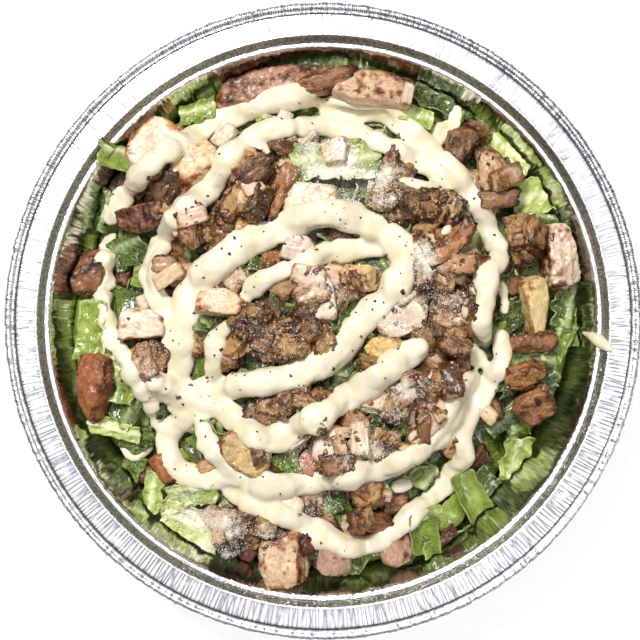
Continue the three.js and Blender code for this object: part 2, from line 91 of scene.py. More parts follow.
# The inside of the pan's wall, in mm: radius and height at its foot, and at its top by the ledge.
WALL_FOOT, FOOT_HEIGHT = 87.0, 3.0
WALL_TOP, LEDGE_HEIGHT = 98.5, 40.0
# The least height that food has over the pan's edge, by its radius, in mm.
EDGE_RADII, EDGE_HEIGHTS = (98.0, WALL_TOP, 100.7, 102.7), (0.0, 40.8, 41.0, 44.6)

NodeAdder = Callable[..., Socket]
Hit = tuple[Vector, Vector]  # where a thing lands, and the normal there


# ---- Small helpers ----


def srgb(colour: str) -> tuple[float, float, float, float]:
    """Turns an sRGB hex value into linear red, green, blue and alpha.

    Args:
        colour: Six hex digits, such as "D8A071".

    Returns:
        The linear colour with an alpha of 1.
    """
    shares = [int(colour[i : i + 2], 16) / 255 for i in (0, 2, 4)]
    linear = [s / 12.92 if s <= 0.04045 else ((s + 0.055) / 1.055) ** 2.4 for s in shares]
    return (linear[0], linear[1], linear[2], 1.0)


def add_node(
    tree: bpy.types.NodeTree,
    kind: str,
    inputs: dict[str | int, object] | None = None,
    out: str | int = 0,
    stops: Sequence[tuple[float, str]] = (),
    **settings: object,
) -> Socket | None:
    """Adds a node with its settings, and its inputs as values or as links.

    Args:
        tree: The node tree it goes into.
        kind: The node's type without the word "ShaderNode", and its operation if it has one.
        inputs: Values, or output sockets of other nodes, by the input's name or place.
        out: Name or place of the output that is wanted.
        stops: A colour ramp's stops, as pairs of place from 0 to 1 and sRGB hex value.
        **settings: The node's own properties.

    Returns:
        The output, or None where the node has none.
    """
    kind, *operation = kind.split()
    node = tree.nodes.new(f"ShaderNode{kind}")
    if operation:
        node.operation = operation[0]
    for name, value in settings.items():
        setattr(node, name, value)
    for name, value in (inputs or {}).items():
        if isinstance(value, Socket):
            tree.links.new(value, node.inputs[name])
        else:
            node.inputs[name].default_value = value
    for i, (place, colour) in enumerate(stops):
        elements = node.color_ramp.elements
        if i == 0:
            elements.remove(elements[-1])
            elements[0].position = place
        (elements.new(place) if i else elements[0]).color = srgb(colour)
    return node.outputs[out] if node.outputs else None


def new_material(name: str) -> tuple[Material, NodeAdder]:
    """Makes an empty node material and returns it with what adds its nodes."""
    material = bpy.data.materials.new(name)
    material.use_nodes = True
    material.node_tree.nodes.clear()
    return material, partial(add_node, material.node_tree)


def linked(name: str, data: bpy.types.ID) -> Object:
    """Makes an object of a mesh, lamp or camera and puts it in the scene."""
    made = bpy.data.objects.new(name, data)
    bpy.context.scene.collection.objects.link(made)
    return made


def smoothstep(low: float, high: float, value: float) -> float:
    """A smooth share from 0 at low to 1 at high."""
    share = min(max((value - low) / (high - low), 0.0), 1.0)
    return share * share * (3 - 2 * share)


def any_way(dice: random.Random, reach: float = 1.0) -> Vector:
    """A vector that points any way, with normally distributed parts."""
    return Vector([dice.gauss(0, reach) for _ in range(3)])


def noise_at(points: np.ndarray, size: float, seed: float) -> np.ndarray:
    """Smooth noise from about -1 to 1 at each point, with features of a size in millimetres."""
    shift = Vector((seed, seed * 0.7, seed * 1.3))
    return np.array([noise.noise(Vector(point) / size + shift) for point in points])


def mesh_of(bm: BMesh, name: str) -> Mesh:
    """Turns a bmesh, which is used up, into a mesh."""
    mesh = bpy.data.meshes.new(name)
    bm.to_mesh(mesh)
    bm.free()
    return mesh


def smoothed(mesh: Mesh, factor: float, iterations: int, voxel: float | None = None) -> Mesh:
    """Remeshes a mesh evenly where a voxel is given, and smooths it.

    Args:
        mesh: The mesh to start from, which is used up.
        factor: How far one round of smoothing moves each point, from 0 to 1.
        iterations: Rounds of smoothing.
        voxel: Size of the remesh's voxels, or None to keep the mesh's faces.

    Returns:
        A new mesh.
    """
    holder = linked("holder", mesh)
    if voxel:
        remesh = holder.modifiers.new("remesh", "REMESH")
        remesh.mode, remesh.voxel_size, remesh.use_smooth_shade = "VOXEL", voxel, True
    smooth = holder.modifiers.new("smooth", "SMOOTH")
    smooth.factor, smooth.iterations = factor, iterations
    shaped = holder.evaluated_get(bpy.context.evaluated_depsgraph_get())
    result = bpy.data.meshes.new_from_object(shaped)
    bpy.data.objects.remove(holder)
    bpy.data.meshes.remove(mesh)
    return result


def finish_piece(
    name: str,
    mesh: Mesh,
    material: Material,
    slot: str,
    replaces: Sequence[str],
) -> Object:
    """Turns a mesh in millimetres into a finished piece that rides on the frame.

    Args:
        name: The piece's name.
        mesh: Its mesh, in millimetres, in the frame's axes.
        material: Its finish.
        slot: The record's material slot that it takes its finish from.
        replaces: The nodes of the frame that it stands for.

    Returns:
        The new object.
    """
    mesh.transform(Matrix.Scale(MM, 4))
    mesh.name = name
    mesh.materials.clear()
    mesh.materials.append(material)
    mesh.shade_smooth()
    if slot == "romaine" or slot.startswith("chicken"):
        dust(mesh)
    piece = linked(name, mesh)
    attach(piece, BODY)
    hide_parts(*replaces)
    log.info("%s: %d faces", name, len(mesh.polygons))
    return piece


def rows(items: bpy.types.bpy_prop_collection, name: str) -> np.ndarray:
    """A vector property of every item as rows."""
    values = np.empty(len(items) * 3, np.float32)
    items.foreach_get(name, values)
    return values.reshape(-1, 3).astype(float)


def set_rows(items: bpy.types.bpy_prop_collection, name: str, values: np.ndarray) -> None:
    """Sets a vector property of every item from rows."""
    items.foreach_set(name, values.astype(np.float32).ravel())


def paint(mesh: Mesh, tints: np.ndarray, grains: np.ndarray) -> None:
    """Gives each point of a mesh its tint and its place on its own piece.

    Args:
        mesh: The mesh.
        tints: One row of four shares for each point.
        grains: One row of three millimetre values for each point.
    """
    set_rows(mesh.attributes.new("tint", "FLOAT_COLOR", "POINT").data, "color", tints)
    set_rows(mesh.attributes.new("grain", "FLOAT_VECTOR", "POINT").data, "vector", grains)


def dust(mesh: Mesh) -> None:
    """Marks how thickly fine cheese dust lies on each point: only on what faces up, in drifts."""
    points, normals = rows(mesh.vertices, "co") / MM, rows(mesh.vertices, "normal")
    drift = 0.75 + 0.5 * ripples(points[:, 0], points[:, 1], 9.0, random.Random(3))
    lies = np.zeros(len(points))
    for patch in CHEESE_PATCHES:
        away = np.hypot(points[:, 0] - patch.at[0], points[:, 1] - patch.at[1]) / patch.radius
        lies = np.maximum(lies, patch.tone * np.exp(-(away**2) * 1.1))
    lies *= np.clip(drift, 0.3, 1.1) * np.clip(normals[:, 2] * 2.0, 0, 1)
    mesh.attributes.new("dust", "FLOAT", "POINT").data.foreach_set("value", lies.astype(np.float32))


class Pile:
    """Many small meshes gathered into one, each point with a tint and a place of its own.

    The tint is four shares whose meaning the finish knows. The grain is the point's place on its
    own piece, in millimetres, so that veins and fibres follow the piece wherever it lies.
    """

    def __init__(self) -> None:
        """Starts an empty pile."""
        self.parts: list[tuple[np.ndarray, ...]] = []
        self.count = 0

    def add(self, points: np.ndarray, faces: Faces, tints: np.ndarray, grains: np.ndarray) -> None:
        """Adds one small mesh.

        Args:
            points: Its points, in millimetres.
            faces: Its faces.
            tints: One row of four shares for each point.
            grains: One row of three millimetre values for each point.
        """
        self.parts.append((points, faces.corners + self.count, faces.sides, tints, grains))
        self.count += len(points)

    def add_ball(self, middle: Sequence[float], size: Sequence[float]) -> None:
        """Adds a plain ball of a size each way, with neither tint nor grain."""
        points = BALL.points * (np.array(size) / 2) + np.array(middle)
        self.add(points, BALL.faces, np.zeros((len(points), 4)), points * 0)

    def mesh(self, name: str) -> Mesh:
        """Joins what was added into one mesh with the attributes tint and grain."""
        mesh = bpy.data.meshes.new(name)
        points, corners, sides, tints, grains = map(np.concatenate, zip(*self.parts))
        starts = np.concatenate(([0], np.cumsum(sides)[:-1]))
        mesh.vertices.add(self.count)
        set_rows(mesh.vertices, "co", points)
        mesh.loops.add(len(corners))
        mesh.loops.foreach_set("vertex_index", corners.astype(np.int32))
        mesh.polygons.add(len(sides))
        mesh.polygons.foreach_set("loop_start", starts.astype(np.int32))
        mesh.update(calc_edges=True)
        paint(mesh, tints, grains)
        mesh.validate()
        return mesh


@dataclass(frozen=True)
class Faces:
    """The faces of a small mesh: the point of every corner, and how many corners each face has."""

    corners: np.ndarray
    sides: np.ndarray

    @staticmethod
    def of(bm: BMesh) -> "Faces":
        """Reads the faces of a bmesh."""
        bm.verts.index_update()
        corners = [vert.index for face in bm.faces for vert in face.verts]
        return Faces(np.array(corners), np.array([len(face.verts) for face in bm.faces]))


def points_of(bm: BMesh) -> np.ndarray:
    """The points of a bmesh as rows."""
    return np.array([vert.co for vert in bm.verts])


class Surface:
    """What lies in the pan so far, for dropping other things onto it."""

    above = 120.0  # a height over everything, in mm

    def __init__(self, pieces: Iterable[Object]) -> None:
        """Gathers finished pieces."""
        points: list[tuple[float, float, float]] = []
        faces: list[list[int]] = []
        for piece in pieces:
            start = len(points)
            points.extend(map(tuple, rows(piece.data.vertices, "co") * (1 / MM)))
            faces.extend([start + i for i in face.vertices] for face in piece.data.polygons)
        self.tree = BVHTree.FromPolygons(points, faces)

    def drop(self, x: float, y: float) -> Hit | None:
        """Where a thing dropped over a point lands, with the normal there, or None."""
        place, normal, _, _ = self.tree.ray_cast(Vector((x, y, self.above)), -UP)
        return None if place is None else (place, normal)

    def height(self, x: float, y: float, otherwise: float) -> float:
        """Height of the surface over a point, or another value where there is none."""
        hit = self.drop(x, y)
        return otherwise if hit is None else hit[0].z


# ---- The heap's form, as in the frame ----


@dataclass(frozen=True)
class Hollow:
    """A place at the wall where the romaine lies lower: direction and half width in degrees."""

    towards: float
    half: float
    depth: float


@dataclass(frozen=True)
class Dome:
    """The low dome of romaine that everything else lies on, in millimetres."""

    centre: float = 40.0  # height in the middle
    edge: float = 27.0  # height at the wall
    power: float = 2.4
    hollows: tuple[Hollow, ...] = (
        Hollow(-40.0, 30.0, 11.0),
        Hollow(163.0, 17.0, 10.0),
        Hollow(-142.0, 14.0, 6.0),
    )

    def wall_radius(self, height: float) -> float:
        """The inside of the pan's wall at a height."""
        share = (height - FOOT_HEIGHT) / (LEDGE_HEIGHT - FOOT_HEIGHT)
        return WALL_FOOT + (WALL_TOP - WALL_FOOT) * min(share, 1.0)

    def edge_height(self, direction: float) -> float:
        """Height of the romaine at the wall, in a direction in degrees."""
        height = self.edge
        for hollow in self.hollows:
            away = abs((direction - hollow.towards + 540) % 360 - 180) / hollow.half
            if away < 1:
                height -= hollow.depth * math.cos(away * math.pi / 2) ** 2
        return height

    def height(self, x: float, y: float) -> float:
        """Height of the bare heap over a point."""
        edge = self.edge_height(math.degrees(math.atan2(y, x)))
        share = min(math.hypot(x, y) / self.wall_radius(edge), 1.0)
        ripple = 1.2 * math.sin(x * 0.13 + 1) * math.cos(y * 0.15) * (1 - share**4)
        return self.centre + (edge - self.centre) * share**self.power + ripple

    def lie(self, x: float, y: float, turn: float, tilt: tuple[float, float]) -> Quaternion:
        """The turn that lays a thing on the heap.

        Args:
            x: Where it lies.
            y: Where it lies.
            turn: Direction of its length, in degrees about Z.
            tilt: How far it leans about its length and its width, in degrees.

        Returns:
            The rotation.
        """
        reach = 4.0
        slope_x = (self.height(x + reach, y) - self.height(x - reach, y)) / (2 * reach)
        slope_y = (self.height(x, y + reach) - self.height(x, y - reach)) / (2 * reach)
        lean = UP.rotation_difference(Vector((-slope_x, -slope_y, 1.0)).normalized())
        own = Euler((math.radians(tilt[0]), math.radians(tilt[1]), math.radians(turn)), "XYZ")
        return lean @ own.to_quaternion()


DOME = Dome()


def kept_in_pan(points: np.ndarray) -> np.ndarray:
    """Moves points that would go through the pan back inside its wall, or on top of its edge.

    Args:
        points: Places in millimetres, one a row.

    Returns:
        The places, moved where needed.
    """
    points = points.copy()
    reach = np.maximum(np.hypot(points[:, 0], points[:, 1]), 1.0)
    wall = np.interp(points[:, 2], (FOOT_HEIGHT, LEDGE_HEIGHT), (WALL_FOOT, WALL_TOP)) - GAP
    inwards = np.where(points[:, 2] < LEDGE_HEIGHT - 0.3, np.minimum(wall / reach, 1.0), 1.0)
    points[:, :2] *= inwards[:, None]
    points[:, 2] = np.maximum(points[:, 2], np.interp(reach * inwards, EDGE_RADII, EDGE_HEIGHTS))
    return points


# ---- Finishes ----


def dusted(add: NodeAdder, colour: Socket, grain: Socket) -> Socket:
    """A colour with the finest grated cheese lying on it, as a veil and as white specks.

    Args:
        add: What adds the material's nodes.
        colour: The bare colour.
        grain: Place on the piece, in millimetres.

    Returns:
        The colour with the dust on it.
    """
    lies = add("Attribute", out="Fac", attribute_name="dust")
    for size, least, most in ((1.8, 0.62, "C8C8C8"), (0.5, 0.7, "D0D0D0")):
        specks = add("TexNoise", {"Vector": grain, "Scale": 1 / size, "Detail": 3.0}, "Fac")
        level = add("Math MULTIPLY_ADD", {0: lies, 1: 0.62, 2: specks})
        share = add("MapRange", {"Value": level, "From Min": least, "From Max": 1.0})
        share = add("ValToRGB", {"Fac": share}, stops=[(0.0, "000000"), (1.0, most)])
        colour = add("Mix", {"Factor": share, 6: colour, 7: srgb("F6F3E8")}, 2, data_type="RGBA")
    return colour


def finish_material(
    add: NodeAdder, looks: dict[str, object], relief: Socket, strength: float, depth: float
) -> None:
    """Ends a material with its relief, its surface and its output.

    Args:
        add: What adds its nodes.
        looks: Values or sockets for the surface's inputs.
        relief: What its bump follows.
        strength: How strongly the bump shows, from 0 to 1.
        depth: How deep the bump goes, in mm.
    """
    bump = add("Bump", {"Height": relief, "Strength": strength, "Distance": depth * MM})
    add("OutputMaterial", {"Surface": add("BsdfPrincipled", looks | {"Normal": bump})})


@dataclass(frozen=True)
class Crease:
    """One kind of fold in the foil: spacing and reach in mm, width as a share of the spacing, and
    the darker tone it is painted, as painted shade and reflection.
    """

    spacing: float
    width: float
    inner: float
    outer: float
    # the fold's painted colour: painted shade and reflection, darker than the foil
    tone: str


@dataclass(frozen=True)
class PressedFoil:
    """Bright aluminium foil, pressed cold: a mirror broken up by sharp little creases.

    Tones, roughness and graininess are given for the same distances from the pan's middle: the
    wall, the ledge, the step, which is rougher and grainier, the flange and the crinkled rolled
    edge. The wall's tone is a little darker, as painted shade, and the step's olive grey tone is a
    painted reflection of the food beside it.
    """

    rings: tuple[float, ...] = (98.4, 98.8, 100.4, 100.8, 102.1, 102.5, 110.2, 110.9)
    # the wall's darker tone is painted shade, and the step's olive grey is a painted reflection of
    # the food
    tones: str = "E8E8E4 F6F6F7 F6F6F7 B6B7AA B6B7AA F4F4F5 F4F4F5 ECEDEF"
    roughness: str = "747474 7B7B7B 7B7B7B B3B3B3 B3B3B3 787878 787878 A6A6A6"
    graininess: str = "000000 505050 505050 F0F0F0 F0F0F0 000000 000000 8C8C8C"
    creases: tuple[Crease, ...] = (
        Crease(1.4, 0.2, 102.9, 110.3, "A0A6B4"),  # across the flange
        Crease(0.75, 0.32, 110.3, 116.0, "70747E"),  # round the rolled edge
        Crease(1.9, 0.22, 80.0, WALL_TOP, "6C7068"),  # up the wall
    )
    # the tone of the dark specks where the foil is grainy: a painted reflection in its crinkles
    speck: str = "4E504A"
    unrolled: float = 107.0  # the radius that the way round the pan is measured at, in mm
    widest: float = 120.0  # the radius at the end of the ramps, in mm

    def folds(self, add: NodeAdder, flat: Socket, reach: Socket, crease: Crease) -> Socket:
        """Thin lines that run outwards, where the foil folded as it was pressed.

        Args:
            add: What adds the material's nodes.
            flat: Place round the pan, distance from its middle and height.
            reach: Distance from the pan's middle.
            crease: The kind of fold.

        Returns:
            A share that is 1 in the lines.
        """
        stretched = add("Mapping", {"Vector": flat, "Scale": (1.0, 0.11, 0.11)})
        lines = add(
            "TexVoronoi",
            {"Vector": stretched, "Scale": 1 / (crease.spacing * MM), "Randomness": 0.85},
            "Distance",
            feature="DISTANCE_TO_EDGE",
        )
        stops = [(0.0, "FFFFFF"), (crease.width * 0.4, "B0B0B0"), (crease.width, "000000")]
        lines = add("ValToRGB", {"Fac": lines}, stops=stops)
        inner = add("Math GREATER_THAN", {0: reach, 1: crease.inner * MM})
        outer = add("Math LESS_THAN", {0: reach, 1: crease.outer * MM})
        ring = add("Math MULTIPLY", {0: inner, 1: outer})
        return add("Math MULTIPLY", {0: lines, 1: ring})

    def material(self) -> Material:
        """Makes the material."""
        material, add = new_material("pressed_aluminium_foil")
        place = add("TexCoord", out="Object")
        x, y, z = add("SeparateXYZ", {0: place}).node.outputs[:3]
        angle = add("Math ARCTAN2", {0: y, 1: x})
        around = add("Math MULTIPLY", {0: angle, 1: self.unrolled * MM})
        level = add("CombineXYZ", {0: x, 1: y})
        reach = add("VectorMath LENGTH", {0: level}, "Value")
        flat = add("CombineXYZ", {0: around, 1: reach, 2: z})
        patches = add("TexNoise", {"Vector": place, "Scale": 1 / (5.0 * MM), "Detail": 2.0}, "Fac")
        broken, back_folds_and_shade = (  # where the flange and the roll show more folds, drawn darker as painted shade: front and back
            add(
                "ValToRGB",
                {"Fac": add("Math MULTIPLY_ADD", {0: y, 1: slope, 2: patches})},
                stops=stops,
            )
            for slope, stops in (
                (-1.2, [(0.36, "3A3A3A"), (0.56, "FFFFFF")]),
                (3.5, [(0.3, "404040"), (0.7, "FFFFFF")]),
            )
        )
        outwards = add("Math DIVIDE", {0: reach, 1: self.widest * MM})
        tone, rough, grainy = (
            add(
                "ValToRGB",
                {"Fac": outwards},
                stops=[(r / self.widest, value) for r, value in zip(self.rings, levels.split())],
            )
            for levels in (self.tones, self.roughness, self.graininess)
        )
        creased = None
        for crease, where in zip(self.creases, (broken, back_folds_and_shade, patches)):
            inside = self.folds(add, flat, reach, crease)
            mask = add("Math MULTIPLY", {0: inside, 1: where})
            # The folds are painted darker: painted shade and reflection in the creases.
            tone = add("Mix", {"Factor": mask, 6: tone, 7: srgb(crease.tone)}, 2, data_type="RGBA")
            creased = mask if creased is None else add("Math MAXIMUM", {0: creased, 1: mask})
        # Dark specks where the foil is grainy, on the ledge, the step and the roll: painted
        # reflection.
        grain = add("TexNoise", {"Vector": place, "Scale": 1 / (0.9 * MM), "Detail": 2.0}, "Fac")
        specks = add("ValToRGB", {"Fac": grain}, stops=[(0.42, "D8D8D8"), (0.55, "000000")])
        specks = add("Math MULTIPLY", {0: specks, 1: grainy})
        tone = add("Mix", {"Factor": specks, 6: tone, 7: srgb(self.speck)}, 2, data_type="RGBA")
        dents = add("TexNoise", {"Vector": flat, "Scale": 1 / (2.4 * MM), "Detail": 3.0}, "Fac")
        sunk = add("Math MULTIPLY_ADD", {0: creased, 1: -1.2, 2: dents})
        raised = add("Math MULTIPLY", {0: grain, 1: grainy})
        relief = add("Math MULTIPLY_ADD", {0: raised, 1: 14.0, 2: sunk})
        looks = {"Base Color": tone, "Metallic": 1.0, "Roughness": rough}
        finish_material(add, looks, relief, 0.4, 0.17)
        return material


@dataclass(frozen=True)
class WetLeaf:
    """Fresh romaine: thin wet leaf that lets some light through, with whitish watery ribs."""

    dark: str = "1E2E0A"
    middle: str = "486313"
    pale: str = "93A63C"
    heart: str = "CBD480"
    rib: str = "DFE4B8"
    roughness: float = 0.27
    vein: float = 1.6  # spacing of the finest veins, in mm

    def material(self) -> Material:
        """Makes the material: the tint's shares are tone, rib, a painted highlight on the cut edge,
        and painted shade.
        """
        material, add = new_material("fresh_romaine_leaf")
        tint = add("Attribute", out="Color", attribute_name="tint")
        grain = add("Attribute", out="Vector", attribute_name="grain")
        tone, rib, edge = add("SeparateColor", {0: tint}).node.outputs[:3]
        blots = add("TexNoise", {"Vector": grain, "Scale": 1 / 3.5, "Detail": 3.0}, "Fac")
        swing = add("Math SUBTRACT", {0: blots, 1: 0.5})
        swing = add("Math MULTIPLY_ADD", {0: swing, 1: 0.55, 2: tone})
        greens = [(0.0, self.dark), (0.38, self.middle), (0.72, self.pale), (1.0, self.heart)]
        colour = add("ValToRGB", {"Fac": swing}, stops=greens)
        veins = add(
            "TexVoronoi",
            {"Vector": grain, "Scale": 1 / self.vein, "Randomness": 0.9},
            "Distance",
            feature="DISTANCE_TO_EDGE",
        )
        lines = add("ValToRGB", {"Fac": veins}, stops=[(0.0, "FFFFFF"), (0.12, "000000")])
        faint = add("Math MULTIPLY", {0: lines, 1: 0.22})
        # Pale ribs, and the painted highlight along the cut edge.
        light = add("Math MAXIMUM", {0: rib, 1: edge})
        for share, tone in ((faint, self.heart), (light, self.rib)):
            colour = add("Mix", {"Factor": share, 6: colour, 7: srgb(tone)}, 2, data_type="RGBA")
        shade = add("CombineColor", dict.fromkeys(range(3), tint.node.outputs["Alpha"]))
        shaded = add(
            "Mix", {"Factor": 1.0, 6: colour, 7: shade}, 2, data_type="RGBA", blend_type="MULTIPLY"
        )
        relief = add("Math MULTIPLY_ADD", {0: blots, 1: 1.5, 2: veins})
        looks = {
            "Base Color": dusted(add, shaded, grain), "Roughness": self.roughness, "IOR": 1.42,
            "Subsurface Weight": 0.12, "Subsurface Radius": (0.4, 1.0, 0.15),
            "Subsurface Scale": 1.0 * MM, "Coat Weight": 0.35, "Coat Roughness": 0.12,
        }
        finish_material(add, looks, relief, 0.5, 0.5)
        return material


@dataclass(frozen=True)
class RoastMeat:
    """Roast chicken: moist meat whose colour each point carries, with faint fibres and crumb."""

    name: str
    roughness: float
    coat: float
    streak: float  # how strongly the fibres show
    crumb: float  # how strongly the fine crumb shows
    depth: float  # depth of the fibres and crumb, in mm
    fibre: float = 1.3  # spacing of the fibres, in mm
    speck: str = "2E1C10"

    def material(self) -> Material:
        """Makes the material."""
        material, add = new_material(self.name)
        colour = add("Attribute", out="Color", attribute_name="tint")
        browned = colour.node.outputs["Alpha"]
        crusty = add("Math MULTIPLY_ADD", {0: browned, 1: 0.85, 2: 0.15})
        grain = add("Attribute", out="Vector", attribute_name="grain")
        along = add("Mapping", {"Vector": grain, "Scale": (0.42, 1.0, 1.0)})
        threads = {"Vector": along, "Scale": 1 / self.fibre, "Detail": 3.0, "Distortion": 0.6}
        fibres = add("TexNoise", threads, "Fac")
        crumbs = add("TexNoise", {"Vector": grain, "Scale": 1 / 0.9, "Detail": 4.0}, "Fac")
        crumbled = add("Math MULTIPLY", {0: crusty, 1: self.crumb})
        for amount, pattern, deep, faint in (
            (self.streak, fibres, "A3937F", "F0EBE4"),
            (crumbled, crumbs, "54402C", "D8CAB8"),
        ):
            stops = [(0.36, deep), (0.5, faint), (0.62, "FFFFFF")]
            tones = add("ValToRGB", {"Fac": pattern}, stops=stops)
            inputs = {"Factor": amount, 6: colour, 7: tones}
            colour = add("Mix", inputs, 2, data_type="RGBA", blend_type="MULTIPLY")
        cells = {"Vector": grain, "Scale": 1 / 4.6, "Randomness": 1.0}
        dots = add("TexVoronoi", cells, "Distance")
        dark = add("ValToRGB", {"Fac": dots}, stops=[(0.07, "C0C0C0"), (0.11, "000000")])
        colour = add("Mix", {"Factor": dark, 6: colour, 7: srgb(self.speck)}, 2, data_type="RGBA")
        relief = add("Math ADD", {0: fibres, 1: crumbs})
        looks = {
            "Base Color": dusted(add, colour, grain), "Roughness": self.roughness, "IOR": 1.42,
            "Subsurface Weight": 0.12, "Subsurface Radius": (1.0, 0.45, 0.25),
            "Subsurface Scale": 1.0 * MM, "Coat Weight": self.coat, "Coat Roughness": 0.22,
        }
        finish_material(add, looks, relief, 0.8, self.depth)
        return material


@dataclass(frozen=True)
class CreamyDressing:
    """Thick caesar dressing: an opaque off-white emulsion, smooth, with a soft wet gloss."""

    colour: str = "EBE2CA"
    warm: str = "DFD2B0"
    speck: str = "8B7A5C"
    roughness: float = 0.32

    def material(self) -> Material:
        """Makes the material."""
        material, add = new_material("creamy_dressing")
        place = add("TexCoord", out="Object")
        broad = add("TexNoise", {"Vector": place, "Scale": 1 / (9 * MM), "Detail": 2.0}, "Fac")
        cream = add("ValToRGB", {"Fac": broad}, stops=[(0.35, self.warm), (0.6, self.colour)])
        cells = {"Vector": place, "Scale": 1 / (4.0 * MM), "Randomness": 1.0}
        dots = add("TexVoronoi", cells, "Distance")
        dark = add("ValToRGB", {"Fac": dots}, stops=[(0.05, "FFFFFF"), (0.09, "000000")])
        faint = add("Math MULTIPLY", {0: dark, 1: 0.35})
        colour = add("Mix", {"Factor": faint, 6: cream, 7: srgb(self.speck)}, 2, data_type="RGBA")
        looks = {
            "Base Color": colour, "Roughness": self.roughness, "IOR": 1.45,
            "Subsurface Weight": 0.15, "Subsurface Radius": (1.0, 0.8, 0.5),
            "Subsurface Scale": 1.0 * MM,
        }
        finish_material(add, looks, broad, 0.25, 0.6)
        return material


@dataclass(frozen=True)
class DryCrumb:
    """Small dry grains, such as grated hard cheese or ground pepper: dull, each a bit different."""

    name: str
    light: str
    dark: str
    roughness: float

    def material(self) -> Material:
        """Makes the material: tint red goes from dark to light."""
        material, add = new_material(self.name)
        tint = add("Attribute", out="Color", attribute_name="tint")
        share = add("SeparateColor", {0: tint})
        tone = add("ValToRGB", {"Fac": share}, stops=[(0.0, self.dark), (1.0, self.light)])
        place = add("TexCoord", out="Object")
        rough = add("TexNoise", {"Vector": place, "Scale": 1 / (0.4 * MM), "Detail": 2.0}, "Fac")
        looks = {"Base Color": tone, "Roughness": self.roughness}
        finish_material(add, looks, rough, 0.5, 0.15)
        return material


@dataclass(frozen=True)
class MattPaint:
    """Plain white paint on a light table, which glows faintly and so softens shadows."""

    colour: str = "FFFFFF"
    glow: float = 0.42

    def material(self) -> Material:
        """Makes the material."""
        material, add = new_material("pale_matt_floor")
        looks = {"Base Color": srgb(self.colour), "Roughness": 0.9}
        looks |= {"Emission Color": srgb(self.colour), "Emission Strength": self.glow}
        add("OutputMaterial", {"Surface": add("BsdfPrincipled", looks)})
        return material


# ---- The pan ----


